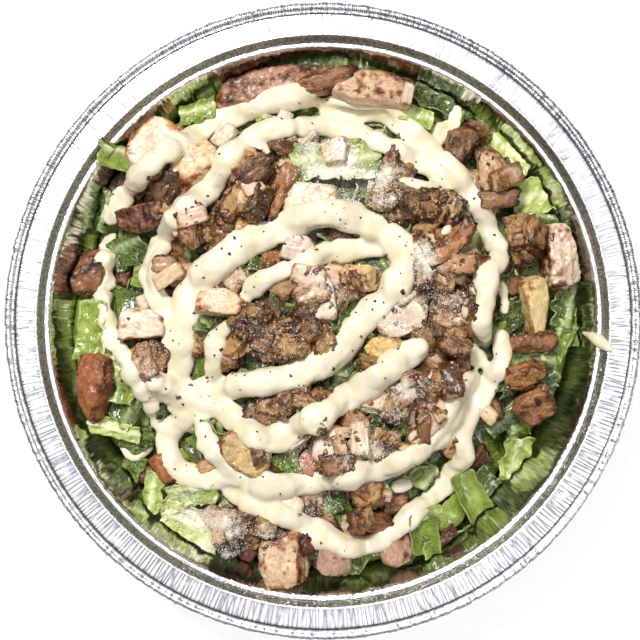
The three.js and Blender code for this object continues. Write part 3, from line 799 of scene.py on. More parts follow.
@dataclass
class FoilPan:
    """The round pan of one sheet of foil, with its ledge, step, flange and rolled edge."""

    rim_radius: float = 114.5
    rim_height: float = 44.0
    foil: float = 0.6
    base_radius: float = 84.0
    ledge_radius: float = 100.5
    flange_edge: float = 110.5
    roll_radius: float = 112.7  # of the rolled edge's middle
    roll_width: float = 3.6
    roll_height: float = 4.6
    steps: int = 1680  # round the pan
    levels: int = 13  # up the wall, and round the rolled edge
    pleat_size: float = 3.0
    pleat_depth: float = 0.55
    crimp_size: float = 2.2
    crimp_depth: float = 0.4
    crease_depth: float = 0.11
    crease_middle: float = 106.0

    def profile(self) -> list[tuple[float, float]]:
        """The outline from the floor's middle, up the inside, round the edge and back below."""
        top, ledge, foil, base = self.rim_height, LEDGE_HEIGHT, self.foil, self.base_radius
        floor = [(0.0, foil), (50.0, foil), (base - 0.6, foil), (86.2, 1.7)]
        low, count = FOOT_HEIGHT + foil, self.levels
        wall = [
            (WALL_FOOT + (WALL_TOP - WALL_FOOT) * i / count, low + (ledge - low) * i / count)
            for i in range(count)
        ]
        beads = [(98.6, -0.1), (98.9, 0.2), (99.2, 0.3), (99.7, 0.32), (100.2, 0.28), (100.6, 0.3)]
        step = [(101.9, -1.0), (102.3, -0.15), (102.7, 0.08), (103.1, 0.0)]
        shoulder = [(r, ledge + up) for r, up in (*beads, (101.3, 1.7))]
        shoulder += [(r, top + up) for r, up in step]
        flange = [(r, top) for r in (103.6, 104.6, 106.0, 107.3, 108.6, 109.5)]
        groove = [(110.2, top - 0.15), (110.7, top - 0.75)]
        across, up = self.roll_width / 2, self.roll_height / 2
        turns = [math.radians(150 - 350 * i / count) for i in range(count + 1)]
        roll = [
            (self.rim_radius - across + across * math.cos(turn), top - up + up * math.sin(turn))
            for turn in turns
        ]
        below = [
            (110.3, top - 1.1), (106.0, top - foil), (103.0, top - foil), (101.3, ledge - foil),
            (99.1, ledge - foil), (93.6, 22.0), (WALL_FOOT + foil, FOOT_HEIGHT),
            (base + 1.9, 0.8), (base, 0.0), (0.0, 0.0),
        ]
        return floor + wall + shoulder + flange + groove + roll + below

    def creases(self) -> list[tuple[float, float, float, float, float]]:
        """The creases across the flange: angle, depth, inner and outer radius, and slant."""
        dice = random.Random(11)
        angle, found = 0.0, []
        while angle < 2 * math.pi:
            deep = self.crease_depth * dice.uniform(0.25, 1.0)
            inner = 102.2 if dice.random() < 0.7 else dice.uniform(103.0, 107.0)
            outer = 110.4 if dice.random() < 0.75 else dice.uniform(106.0, 109.5)
            found.append((angle, deep, inner, outer, dice.uniform(-0.012, 0.012)))
            angle += dice.uniform(1.1, 2.6) / self.crease_middle
        return found

    def build(self, material: Material) -> Object:
        """Spins the outline and crimps it.

        Args:
            material: The foil's finish.

        Returns:
            The finished pan.
        """
        bm = bmesh.new()
        verts = [bm.verts.new((radius, 0.0, height)) for radius, height in self.profile()]
        edges = [bm.edges.new(pair) for pair in zip(verts, verts[1:])]
        spin = {"cent": (0, 0, 0), "axis": UP, "angle": math.tau, "use_merge": True}
        bmesh.ops.spin(bm, geom=verts + edges, steps=round(self.steps / COARSE), **spin)
        bmesh.ops.remove_doubles(bm, verts=bm.verts[:], dist=1e-4)
        bmesh.ops.recalc_face_normals(bm, faces=bm.faces[:])
        creases = self.creases()
        for vert in bm.verts:
            self.crimp(vert, creases)
        mesh = mesh_of(bm, "foil_pan_pressed")
        return finish_piece("foil_pan_pressed", mesh, material, "foil", [PAN_NODE])

    def crimp(self, vert: BMVert, creases: Sequence[tuple[float, ...]]) -> None:
        """Moves one point of the smooth pan by the pleats, creases and crimps at its place.

        Args:
            vert: The point.
            creases: The creases across the flange.
        """
        x, y, z = vert.co
        radius = math.hypot(x, y)
        if radius < self.base_radius + 2:
            return
        out = Vector((x / radius, y / radius, 0.0))
        angle = math.atan2(y, x) % math.tau
        if radius < self.ledge_radius + 0.3 and z < LEDGE_HEIGHT + 0.5:
            share = smoothstep(FOOT_HEIGHT, 16.0, z)
            ring = out * (WALL_TOP / self.pleat_size)
            wander = UP * (z * 0.035)
            wave = noise.noise(ring + wander) + 0.5 * noise.noise(ring * 2.1 + wander * 2)
            on_ledge = z > LEDGE_HEIGHT - 1.0
            vert.co += out * (self.pleat_depth * share * wave * (0.35 if on_ledge else 1.0))
            if on_ledge:
                vert.co.z += 0.2 * noise.noise(ring * 2.2 + UP * (radius * 0.9))
            return
        if radius < self.flange_edge and z > self.rim_height - 2.5:
            nearest = self.crease_at(angle, radius, creases)
            vert.co.z += nearest + 0.12 * noise.noise(out * 26.0)
            return
        ring = out * (self.roll_radius / self.crimp_size)
        slant = UP * (z * 0.18)
        wave = noise.noise(ring * 1.15 + slant) + 0.45 * noise.noise(ring * 2.3 - slant)
        centre = out * self.roll_radius + UP * (self.rim_height - self.roll_height / 2)
        away = (vert.co - centre).normalized()
        vert.co += away * (self.crimp_depth * wave)

    def crease_at(self, angle: float, radius: float, creases: Sequence[tuple[float, ...]]) -> float:
        """Height of the creases at a place on the flange.

        Args:
            angle: Direction of the place.
            radius: Its distance from the middle.
            creases: The creases across the flange, in order of angle.

        Returns:
            How far the foil lies over or under the flat flange.
        """
        mean = math.tau / len(creases)
        near = int(angle / mean)
        total = 0.0
        for i in range(near - 14, near + 15):
            at, deep, inner, outer, slant = creases[i % len(creases)]
            turned = angle - at - slant * (radius - self.crease_middle) / 8.0
            away = (turned + math.pi) % math.tau - math.pi
            distance = away * radius
            if abs(distance) < 1.1:
                ends = smoothstep(inner - 0.6, inner + 0.6, radius)
                ends *= 1 - smoothstep(outer - 0.6, outer + 0.6, radius)
                total += deep * ends * math.exp(-((distance / 0.38) ** 2))
        return total


# ---- Romaine ----


def ripples(x: np.ndarray, y: np.ndarray, size: float, dice: random.Random) -> np.ndarray:
    """Smooth waves from about -1 to 1 over a leaf.

    Args:
        x: Places along the leaf, in millimetres.
        y: Places across it.
        size: Size of the waves, in millimetres.
        dice: What the waves are drawn from.

    Returns:
        The height at each place.
    """
    total = np.zeros_like(x)
    for _ in range(5):
        way = dice.uniform(0, math.tau)
        pace = math.tau / (size * dice.uniform(0.7, 1.6))
        total += np.sin((x * math.cos(way) + y * math.sin(way)) * pace + dice.uniform(0, math.tau))
    return total / 2.6


@dataclass(frozen=True)
class Leaf:
    """A torn or cut piece of romaine.

    Sizes are in millimetres and turns in degrees. The tone goes from 0, dark green, to 1, the
    pale heart. The rib lies at a place across the leaf from -1 to 1, and 2 is none.
    """

    at: tuple[float, float]
    size: tuple[float, float]
    turn: float
    lift: float
    tone: float
    rib: float
    cup: float  # how far it rolls up across, from side to side
    bend: float  # how far it rolls up along, from end to end
    frill: float = 0.6
    edge: float = 0.12  # how strongly its cut edge is painted pale: a painted highlight
    crumple: float = 1.0
    tilt: tuple[float, float] = (0.0, 0.0)
    # how dark the whole leaf is painted, as painted shade
    shade: float = 1.0
    thick: float = 0.55
    reach: tuple[float, float, float] = (86.4, 11.2, 108.0)  # at the foot, up the wall, over it

    def form(
        self, u: np.ndarray, v: np.ndarray, dice: random.Random
    ) -> tuple[np.ndarray, np.ndarray, np.ndarray]:
        """The leaf's own shape before it is laid down.

        Args:
            u: Places along it from -1 to 1.
            v: Places across it from -1 to 1.
            dice: What its irregularities are drawn from.

        Returns:
            Its points, tints and grains.
        """
        length, width = self.size
        skew, taper = dice.uniform(-0.25, 0.25), dice.uniform(-0.2, 0.3)
        ragged = 1 + 0.05 * ripples(u * length, v * width, 8.0, dice)
        x = (u + skew * v * width / length) * length / 2 * ragged
        y = v * width / 2 * (1 - taper * (u + 1) / 2) * ragged
        rib_at = self.rib * width / 2
        from_rib = np.abs(y - rib_at)
        rib = np.exp(-((from_rib / (0.8 + 0.06 * width)) ** 2)) if abs(self.rib) <= 1 else y * 0
        run = x - from_rib * 0.9
        swell = np.abs(np.sin(math.pi * run / dice.uniform(5.0, 7.5) + dice.uniform(0, 3)))
        side = np.exp(-((swell / 0.18) ** 2)) * np.clip(1 - from_rib / (0.7 * width), 0, 1)
        folds = 1 - 1.6 * np.abs(ripples(x, y, 10.0, dice)) ** 0.75
        creases = 1 - 1.6 * np.abs(ripples(x, y, 4.5, dice)) ** 0.75
        z = self.crumple * (1.0 * folds + 0.42 * creases + 0.16 * ripples(x, y, 2.0, dice))
        z += 0.9 * rib - 0.22 * side
        flutter = np.sin(x * math.tau / dice.uniform(7.0, 11.0) + dice.uniform(0, 6))
        z += self.frill * flutter * np.abs(v) ** 2.6
        relief = z
        y, z = self.curled(y, z, self.cup, width)
        x, z = self.curled(x, z, self.bend, length)
        # A painted highlight along the cut edge.
        rim = np.clip((np.maximum(np.abs(u), np.abs(v)) - 0.9) / 0.1, 0, 1)
        tone = self.tone + 0.25 * rib + 0.09 * ripples(x, y, 9.0, dice) + 0.05 * side
        # Painted shade: the leaf is darker in its folds and creases.
        shade = self.shade * np.clip(0.84 + 0.14 * relief, 0.45, 1.0)
        white = np.clip(rib * (0.2 + 0.6 * self.tone) + 0.1 * side, 0, 1)
        tints = np.stack([np.clip(tone, 0, 1), white, rim * self.edge * 0.5, shade], axis=1)
        points = np.stack([x, y, z], axis=1)
        return points, tints, np.stack([x, y, z * 0], axis=1)

    @staticmethod
    def curled(
        along: np.ndarray, up: np.ndarray, degrees: float, length: float
    ) -> tuple[np.ndarray, np.ndarray]:
        """Rolls a shape up along one direction, by an angle from end to end."""
        if abs(degrees) < 1:
            return along, up
        radius = length / math.radians(degrees)
        turn = along / radius
        return (radius - up) * np.sin(turn), radius - (radius - up) * np.cos(turn)

    def lay(self, pile: Pile, sheet: "LeafSheet", seed: int) -> None:
        """Lays the leaf on the heap.

        Args:
            pile: What it is added to.
            sheet: The flat closed sheet that it is shaped from.
            seed: What its irregularities are drawn from.
        """
        near = 0.01
        point, tint, grain = self.form(sheet.u, sheet.v, random.Random(seed))
        along = self.form(sheet.u + near, sheet.v, random.Random(seed))[0] - point
        across = self.form(sheet.u, sheet.v + near, random.Random(seed))[0] - point
        normal = np.cross(along, across)
        normal /= np.linalg.norm(normal, axis=1)[:, None] + 1e-9
        point = point + normal * (sheet.side * self.thick / 2)[:, None]
        x, y = self.at
        turn = np.array(DOME.lie(x, y, self.turn, self.tilt).to_matrix())
        base = np.array([x, y, DOME.height(x, y) + self.lift])
        placed = point @ turn.T + base
        far = np.hypot(placed[:, 0], placed[:, 1])
        height = np.clip((placed[:, 2] - FOOT_HEIGHT) / (LEDGE_HEIGHT - FOOT_HEIGHT), 0, 1)
        foot, gain, over = self.reach
        limit = np.where(placed[:, 2] < LEDGE_HEIGHT + 0.5, foot + gain * height, over)
        placed[:, :2] *= np.minimum(1.0, limit / np.maximum(far, 1e-6))[:, None]
        pile.add(placed, sheet.faces, tint, grain + np.array([x * 3, y * 3, 0]))


class LeafSheet:
    """A flat closed sheet from -1 to 1 each way, made once for each fineness."""

    def __init__(self, columns: int, rows: int) -> None:
        """Makes the sheet.

        Args:
            columns: Cells along it.
            rows: Cells across it.
        """
        bm = bmesh.new()
        bmesh.ops.create_grid(bm, x_segments=columns, y_segments=rows, size=1.0)
        bmesh.ops.solidify(bm, geom=bm.faces[:], thickness=0.1)
        bmesh.ops.recalc_face_normals(bm, faces=bm.faces[:])
        self.faces = Faces.of(bm)
        flat = points_of(bm)
        bm.free()
        middle = (flat[:, 2].max() + flat[:, 2].min()) / 2
        self.u, self.v = flat[:, 0], flat[:, 1]
        self.side = np.sign(flat[:, 2] - middle)


@dataclass
class RomaineHeap:
    """The chopped romaine: a dense mound painted dark as shade, filler leaves over it, and the
    leaves that show.
    """

    showing: tuple[Leaf, ...]
    fillers: int = 330
    seed: int = 5
    base_radius: float = 83.0  # of the mound's flat underside
    base_height: float = 1.1
    under: float = 4.2  # how far the mound lies below the leaves
    lump: float = 3.0  # height of its lumps
    lump_size: float = 9.0

    def mound(self) -> Mesh:
        """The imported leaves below, as a closed lumpy mound."""
        bm = bmesh.new()
        bmesh.ops.create_icosphere(bm, subdivisions=6, radius=1.0)
        for vert in bm.verts:
            way = vert.co.normalized()
            flat = Vector((way.x, way.y, 0.0))
            direction = flat.normalized() if flat.length > 1e-6 else Vector((1.0, 0.0, 0.0))
            share = math.acos(min(abs(way.z), 1.0)) / (math.pi / 2)
            if way.z < 0:
                vert.co = direction * (share * self.base_radius) + UP * self.base_height
                continue
            degrees = math.degrees(math.atan2(direction.y, direction.x))
            reach = DOME.wall_radius(DOME.edge_height(degrees)) - 1.2
            place = direction * (share * reach)
            lumps = self.lump * noise.turbulence(place / self.lump_size, 4, True)
            height = DOME.height(place.x, place.y) - self.under + lumps
            vert.co = Vector((place.x, place.y, height))
        bmesh.ops.recalc_face_normals(bm, faces=bm.faces[:])
        mesh = mesh_of(bm, "romaine_mound")
        places = rows(mesh.vertices, "co")
        dice = random.Random(self.seed)
        # Painted shade: the mound is darkened, less so and paler towards the wall.
        tone = 0.22 + 0.2 * ripples(places[:, 0], places[:, 1], 14.0, dice)
        rim = np.clip((np.hypot(places[:, 0], places[:, 1]) - 70.0) / 15.0, 0, 1)
        tone += 0.25 * rim
        tint = np.stack([np.clip(tone, 0, 1), tone * 0, tone * 0, 0.55 + 0.3 * rim], axis=1)
        paint(mesh, tint, places)
        return mesh

    def filler(self, dice: random.Random) -> Leaf:
        """One of the many leaves that fill the gaps."""
        direction = dice.uniform(0, math.tau)
        share = math.sqrt(dice.random())
        edge = DOME.edge_height(math.degrees(direction))
        reach = (DOME.wall_radius(edge) - 12.0) * share
        x, y = reach * math.cos(direction), reach * math.sin(direction)
        outer = smoothstep(0.55, 0.95, share)
        flatter = 1 - outer * 0.6
        tone = min(max(dice.gauss(0.34 + 0.12 * outer, 0.2), 0.02), 0.95)
        return Leaf(
            at=(x, y),
            size=(dice.uniform(10, 19), dice.uniform(6, 12)),
            turn=dice.uniform(0, 360),
            lift=dice.uniform(-2.4, 0.4) - 3.2 * outer,
            tone=tone,
            rib=dice.choice((2.0, 2.0, 0.0, 0.7, -0.8)),
            cup=dice.uniform(-50, 90),
            bend=dice.uniform(-40, 50),
            frill=dice.uniform(0.4, 1.6),
            tilt=(dice.uniform(-38, 38) * flatter, dice.uniform(-30, 30) * flatter),
            edge=dice.uniform(0.1, 0.5),
            # fillers lie under the leaves that show and are painted darker, as painted shade
            shade=dice.uniform(0.6, 0.95),
        )

    def build(self, material: Material) -> list[Object]:
        """Makes the mound and its leaves.

        Args:
            material: The leaves' finish.

        Returns:
            The finished pieces.
        """
        dice = random.Random(self.seed)
        coarse, fine = LeafSheet(10, 7), LeafSheet(30, 20)
        loose, heroes = Pile(), Pile()
        for i in range(self.fillers):
            self.filler(dice).lay(loose, coarse, 900 + i)
        for i, leaf in enumerate(self.showing):
            leaf.lay(heroes, fine, 40 + i)
        meshes = {
            "romaine_mound": self.mound(),
            "romaine_filler": loose.mesh("romaine_filler"),
            "romaine_leaves": heroes.mesh("romaine_leaves"),
        }
        for mesh in meshes.values():
            set_rows(mesh.vertices, "co", kept_in_pan(rows(mesh.vertices, "co")))
        return [
            finish_piece(name, mesh, material, "romaine", [HEAP_NODE])
            for name, mesh in meshes.items()
        ]


# The leaves that show, clockwise from the upper right: place, length and width, then turn, lift,
# tone, rib, cup, bend, frill, edge, crumple and tilt.
SHOWING_LEAVES = tuple(
    Leaf((x, y), (length, width), *rest)
    for x, y, length, width, *rest in (
        (69, 62, 18, 12, -35, 2.5, 0.82, 0.1, 40, 20, 0.9, 0.5),
        (64, 66, 14, 9, 20, 1, 0.7, -0.4, 60, 20, 0.9),
        (78, 46, 20, 13, 15, 2.5, 0.85, 0, 45, 25, 0.8, 0.6),
        (80, 36, 17, 9, -5, 2, 0.2, 0.6, 60, 10),
        (88, 6, 17, 9, 80, 2.5, 0.3, -0.6, 70, 20, 1.2, 0.6),
        (86, -8, 17, 9, 60, 2, 0.55, 0.5, 60, 20, 1.4, 0.6),
        (90, -2, 15, 8, 95, 0.5, 0.6, 2, 80, 20),
        (71.5, -51, 18, 12, 82, 4, 0.76, 0, 50, 20, 1.6, 0.5),
        (74, -17, 24, 14, 5, 1.5, 0.18, 0.3, 40, 20, 1.2, 0.35),
        (78, -22, 18, 11, -30, 0, 0.35, 2, 60, 20),
        (65, -33, 17, 14, 40, 1, 0.15, -0.5, 60, 30, 1.2),
        (72, -36, 16, 10, 100, 0, 0.4, 0.5, 60, 30),
        (53.5, -64.5, 22, 13, -58, 4, 0.62, 2, 130, 25, 0.2, 0.3, 0.15),
        (48.5, -71, 16, 13, 40, 5.5, 0.68, 2, -80, -60, 0.1, 0.3, 0.12),
        (36.5, -77.5, 17, 12, 100, 3, 0.52, 2, 105, 25, 0.2, 0.4, 0.15),
        (39.5, -69.5, 9, 5, 10, 4, 0.85, 2, 30, 10, 0.2, 0.12, 0.3),
        (46, -82, 22, 7, 14, 3, 0.6, 2, 70, 30, 0.2, 0.5, 0.3),
        (62, -62, 18, 10, -40, 1.5, 0.3, 2, 60, 30, 0.3, 0.3, 0.3),
        (31, -82, 14, 10, 60, 1.5, 0.28, 2, 70, 30, 0.3, 0.4, 0.3),
        (19, -60, 12, 10, -50, 2.5, 0.5, 0.2, 30, 20, 0.5),
        (12, -89, 12, 8, 60, 1, 0.5, 2, 60, 20),
        (-48, -75, 24, 15, -22, 1.5, 0.97, 0.1, 40, 20, 0.6, 0.4),
        (-37, -73, 14, 9, 50, 1, 0.8, -0.3, 50, 20, 0.7),
        (-62, -63, 15, 9, 78, 3, 0.74, 0.2, 55, 20, 1.2, 0.6),
        (-53, -66, 16, 8, 30, 1.5, 0.7, -0.7, 60, 30, 1.2),
        (-48, -63, 19, 9, 8, 2, 0.62, 0.5, 50, 15, 0.8),
        (-71, -55, 14, 9, 60, 0.5, 0.4, 2, 60, 20),
        (-77, -39, 20, 8, -15, 2.5, 0.88, 0, 60, 20, 0.4, 0.5),
        (-68, -45, 14, 8, 30, 1, 0.3, 2, 60, 20),
        (-73, -21, 18, 12, 85, 2.5, 0.62, 0.5, 55, 25, 1.2, 0.5),
        (-71, -30, 17, 11, 60, 1, 0.25, -0.4, 50, 25, 1),
        (-84, -3, 22, 13, 85, 2.6, 0.66, -0.9, 45, 20, 0.8, 0.8),
        (-79, -9, 15, 10, 60, 1, 0.7, 0, 55, 20, 0.9, 0.6),
        (-71, 26, 16, 13, 20, 2, 0.16, 0.4, 50, 20, 0.8),
        (-66, 18, 12, 8, 80, 1.5, 0.66, 2, 40, 20),
        (-82, 42, 17, 9, 65, 1.5, 0.3, -0.5, 60, 20, 1),
        (-71.5, 58.5, 21, 10, -14, 9, 0.6, 0.5, 20, 15, 0.3, 0.3, 0.35, (0, 36)),
        (-46, 77, 14, 8, 15, 2, 0.6, 0.2, 50, 20, 0.8),
        (4, 58, 33, 14, 2, 3, 0.52, 0.1, 25, 15, 0.7),
        (22, 50, 16, 11, 75, 3, 0.62, -0.2, 30, 15, 0.8),
        (34, 75, 13, 8, -20, 3, 0.78, 0.2, 40, 15, 0.8, 0.5),
        (41, 84, 16, 14, -25, 2, 0.12, 0.3, 45, 20, 1.1, 0.4),
        (51, 78, 14, 9, 40, 0.5, 0.35, 2, 60, 20),
        (64, 17, 15, 10, 70, 1, 0.12, 0.5, 40, 20),
        (71, 3, 14, 10, 30, 1, 0.14, 2, 50, 20),
        (-18, 70, 14, 9, -20, 2, 0.5, 2, 40, 15),
        (-32, 17, 12, 9, 40, 1.5, 0.45, 0.3, 40, 20),
        (8, -1, 12, 8, -30, 1.5, 0.42, 2, 40, 20),
        (-15, -52, 13, 8, 20, 1.5, 0.4, 2, 40, 20),
        (30, -39, 12, 8, 60, 1.5, 0.45, 2, 40, 20),
    )
)


# ---- Chicken ----


class Cut(Enum):
    """How a piece of chicken was cut and cooked, by the slot of its finish."""

    PALE = "chicken_pale"
    SEARED = "chicken_seared"
    CRISP = "chicken_crisp"


@dataclass(frozen=True)
class Tear:
    """How meat parts into fibres and crumbs; lengths in millimetres."""

    along: float
    across: float
    height: float
    crack: float
    shade: float

    def at(self, local: Vector, seed: float) -> tuple[float, float]:
        """The relief at a point.

        Args:
            local: The point, with X along the fibres.
            seed: What sets this piece apart.

        Returns:
            How far the meat stands out there, and how dark its crevices are painted, as painted
            shade, from 0 to 1.
        """
        scaled = Vector((local.x / self.along, local.y / self.across, local.z / self.across))
        scaled += Vector((seed, seed * 0.7, 0.0))
        lumps = noise.fractal(scaled, 0.75, 2.1, 4)
        split = 1 - smoothstep(0.02, 0.15, abs(noise.noise(scaled * 1.2 + Vector((9, 0, 3)))))
        deep = (1 - smoothstep(-0.6, 0.15, lumps)) * self.shade + 0.7 * split * self.shade
        return self.height * lumps - self.crack * split, min(deep, 1.0)


TEARS = {
    Cut.PALE: Tear(7.0, 2.8, 0.35, 0.15, 0.25),
    Cut.SEARED: Tear(5.0, 2.9, 0.6, 0.35, 0.45),
    Cut.CRISP: Tear(3.4, 2.8, 0.95, 0.6, 0.6),
}


def sliced(bm: BMesh, place: Vector, way: Vector) -> list[BMEdge]:
    """Cuts off what lies beyond a plane.

    Args:
        bm: What is cut, in place.
        place: A point of the plane.
        way: The way that the plane faces.

    Returns:
        The edges round the open cut.
    """
    cut = bmesh.ops.bisect_plane(
        bm,
        geom=bm.verts[:] + bm.edges[:] + bm.faces[:],
        plane_co=place,
        plane_no=way,
        clear_outer=True,
    )
    return [part for part in cut["geom_cut"] if isinstance(part, BMEdge)]


def carved(bm: BMesh, dice: random.Random, cuts: tuple[float, float], chips: int = 4) -> None:
    """Cuts flat faces into a lump: six about square to one another, then some off its corners.

    Args:
        bm: The lump, changed in place.
        dice: What the cuts are drawn from.
        cuts: The least and the greatest depth of a cut.
        chips: How many corners come off.
    """
    points = points_of(bm)
    middle = (points.max(axis=0) + points.min(axis=0)) / 2
    axes = np.linalg.eigh(np.cov((points - points.mean(axis=0)).T))[1]
    ways = [Vector(axes[:, i] * sign) for i in range(3) for sign in (-1, 1)]
    ways = [way + any_way(dice, 0.2) for way in ways]
    ways += [any_way(dice) for _ in range(chips)]
    for way in ways:
        way.normalize()
        reach = ((points - middle) @ np.array(way)).max()
        reach -= min(dice.uniform(*cuts), reach * 0.4)
        bmesh.ops.holes_fill(bm, edges=sliced(bm, Vector(middle) + way * reach, way), sides=0)
    bmesh.ops.recalc_face_normals(bm, faces=bm.faces[:])


def edges_of(mesh: Mesh) -> np.ndarray:
    """How far each point of a fine mesh stands out of its smoothed self, in mm: high on edges."""
    copy = smoothed(mesh.copy(), 0.6, 10)
    soft = rows(copy.vertices, "co")
    bpy.data.meshes.remove(copy)
    return ((rows(mesh.vertices, "co") - soft) * rows(mesh.vertices, "normal")).sum(axis=1)


@dataclass(frozen=True)
class Roast:
    """The look of one piece of chicken.

    The crust comes in from one direction, in the frame's axes, and covers a share of the piece.
    Without a direction it comes in from any side.
    """

    flesh: str
    crust: str
    cover: float = 0.4
    crust_from: tuple[float, float, float] | None = None


def roasted(look: Roast, brown: np.ndarray, deep: np.ndarray, tone: np.ndarray) -> np.ndarray:
    """The colour of each point of a piece, from its flesh over a caramel tone to its crust.

    Args:
        look: The piece's look.
        brown: How browned each point is, from 0 to 1.
        deep: How far it is darkened towards a deep brown, from 0 to 1: painted shade in crevices
            and hollows, and, on the large pieces, charring.
        tone: What each point's colour is multiplied by.

    Returns:
        One row for each point: its red, green and blue, and how browned it is.
    """
    inner, outer = np.array(srgb(look.flesh)[:3]), np.array(srgb(look.crust)[:3])
    caramel = np.sqrt(inner * outer) * (1.08, 0.98, 0.86)
    share = brown[:, None]
    colour = np.where(
        share < 0.5,
        inner + (caramel - inner) * share * 2,
        caramel + (outer - caramel) * (share * 2 - 1),
    )
    colour = colour * tone[:, None] * (1.0 - share * (0.12, 0.14, 0.25))
    # Painted shade: crevices and hollows darken towards the crust's deepest brown.
    colour += (outer * 0.3 - colour) * deep[:, None] * 0.75
    return np.concatenate([np.clip(colour, 0, 1), share], axis=1)


ROASTS = {
    Cut.PALE: Roast("EFD8BC", "9A6A3C", 0.22),
    Cut.SEARED: Roast("C9A074", "6E4622", 0.42),
    Cut.CRISP: Roast("B48C54", "64421F", 0.5),
}

# The looks of pieces of their own, by number.
OWN_ROASTS = {
    number: Roast(*look)
    for number, *look in (
        (1, "BC8E70", "6A4228", 0.46, (-0.2, 0.9, 0.3)),
        (2, "DAB898", "84582F", 0.36, (0.4, 0.9, 0.2)),
        (3, "EBD2B4", "B8763E", 0.24, (-0.7, 0.7, 0.0)),
        (4, "EACEA6", "B04E20", 0.34, (0.3, -1.0, 0.0)), (5, "EAD4BC", "A8734A", 0.25),
        (6, "A87446", "503018", 0.5), (7, "9C6C54", "4E2E1E", 0.45), (8, "D2AC74", "744A20", 0.4),
        (9, "B07C50", "66381C", 0.45), (10, "EAD4B6", "A4713F", 0.25),
        (11, "D2AE82", "8A5A32", 0.3), (13, "D4A268", "8E5A2A", 0.35),
        (14, "A46A42", "5E3420", 0.45), (15, "F2CEA8", "A0643C", 0.3),
        (16, "F2DCC2", "8E5A34", 0.26, (0.1, -1.0, 0.0)), (17, "BC8A52", "6E421E", 0.4),
        (18, "E8D0BE", "A87C60", 0.2), (19, "EED8C0", "A07450", 0.25),
        (20, "E6C08A", "825226", 0.35), (23, "ECD6B2", "9A6A38", 0.3),
        (24, "DCC4A4", "7E5836", 0.35), (25, "BE8858", "502412", 0.5, (0.6, 0.6, 0.0)),
        (26, "8C6236", "462A14", 0.5), (27, "D8B48C", "6C4628", 0.4),
        (28, "F0D4B8", "5E3619", 0.46), (30, "E6CC92", "AA7A42", 0.2),
        (31, "A27046", "60381C", 0.5), (35, "ECD4BC", "986C48", 0.28),
        (37, "E4C07C", "845222", 0.35), (38, "CCA884", "805634", 0.35),
        (39, "BC7E4A", "7A3E1C", 0.4), (42, "ECD2BA", "B07E5A", 0.2), (43, "D8B67E", "8A5C2C", 0.3),
        (44, "AA6A32", "603416", 0.5), (45, "C09672", "7A4E30", 0.4), (46, "DABE94", "946638", 0.2),
        (48, "E6C4A0", "9A5428", 0.38, (0.5, 0.5, 0.1)), (49, "C8A08A", "744A36", 0.36),
        (50, "C49C82", "764C34", 0.36), (51, "B6844E", "6E4422", 0.45),
        (52, "A6744A", "5A3620", 0.45), (53, "94603E", "4C2A1A", 0.5),
        (54, "A8683E", "6E3820", 0.45), (56, "96643C", "5C341A", 0.5),
    )
}


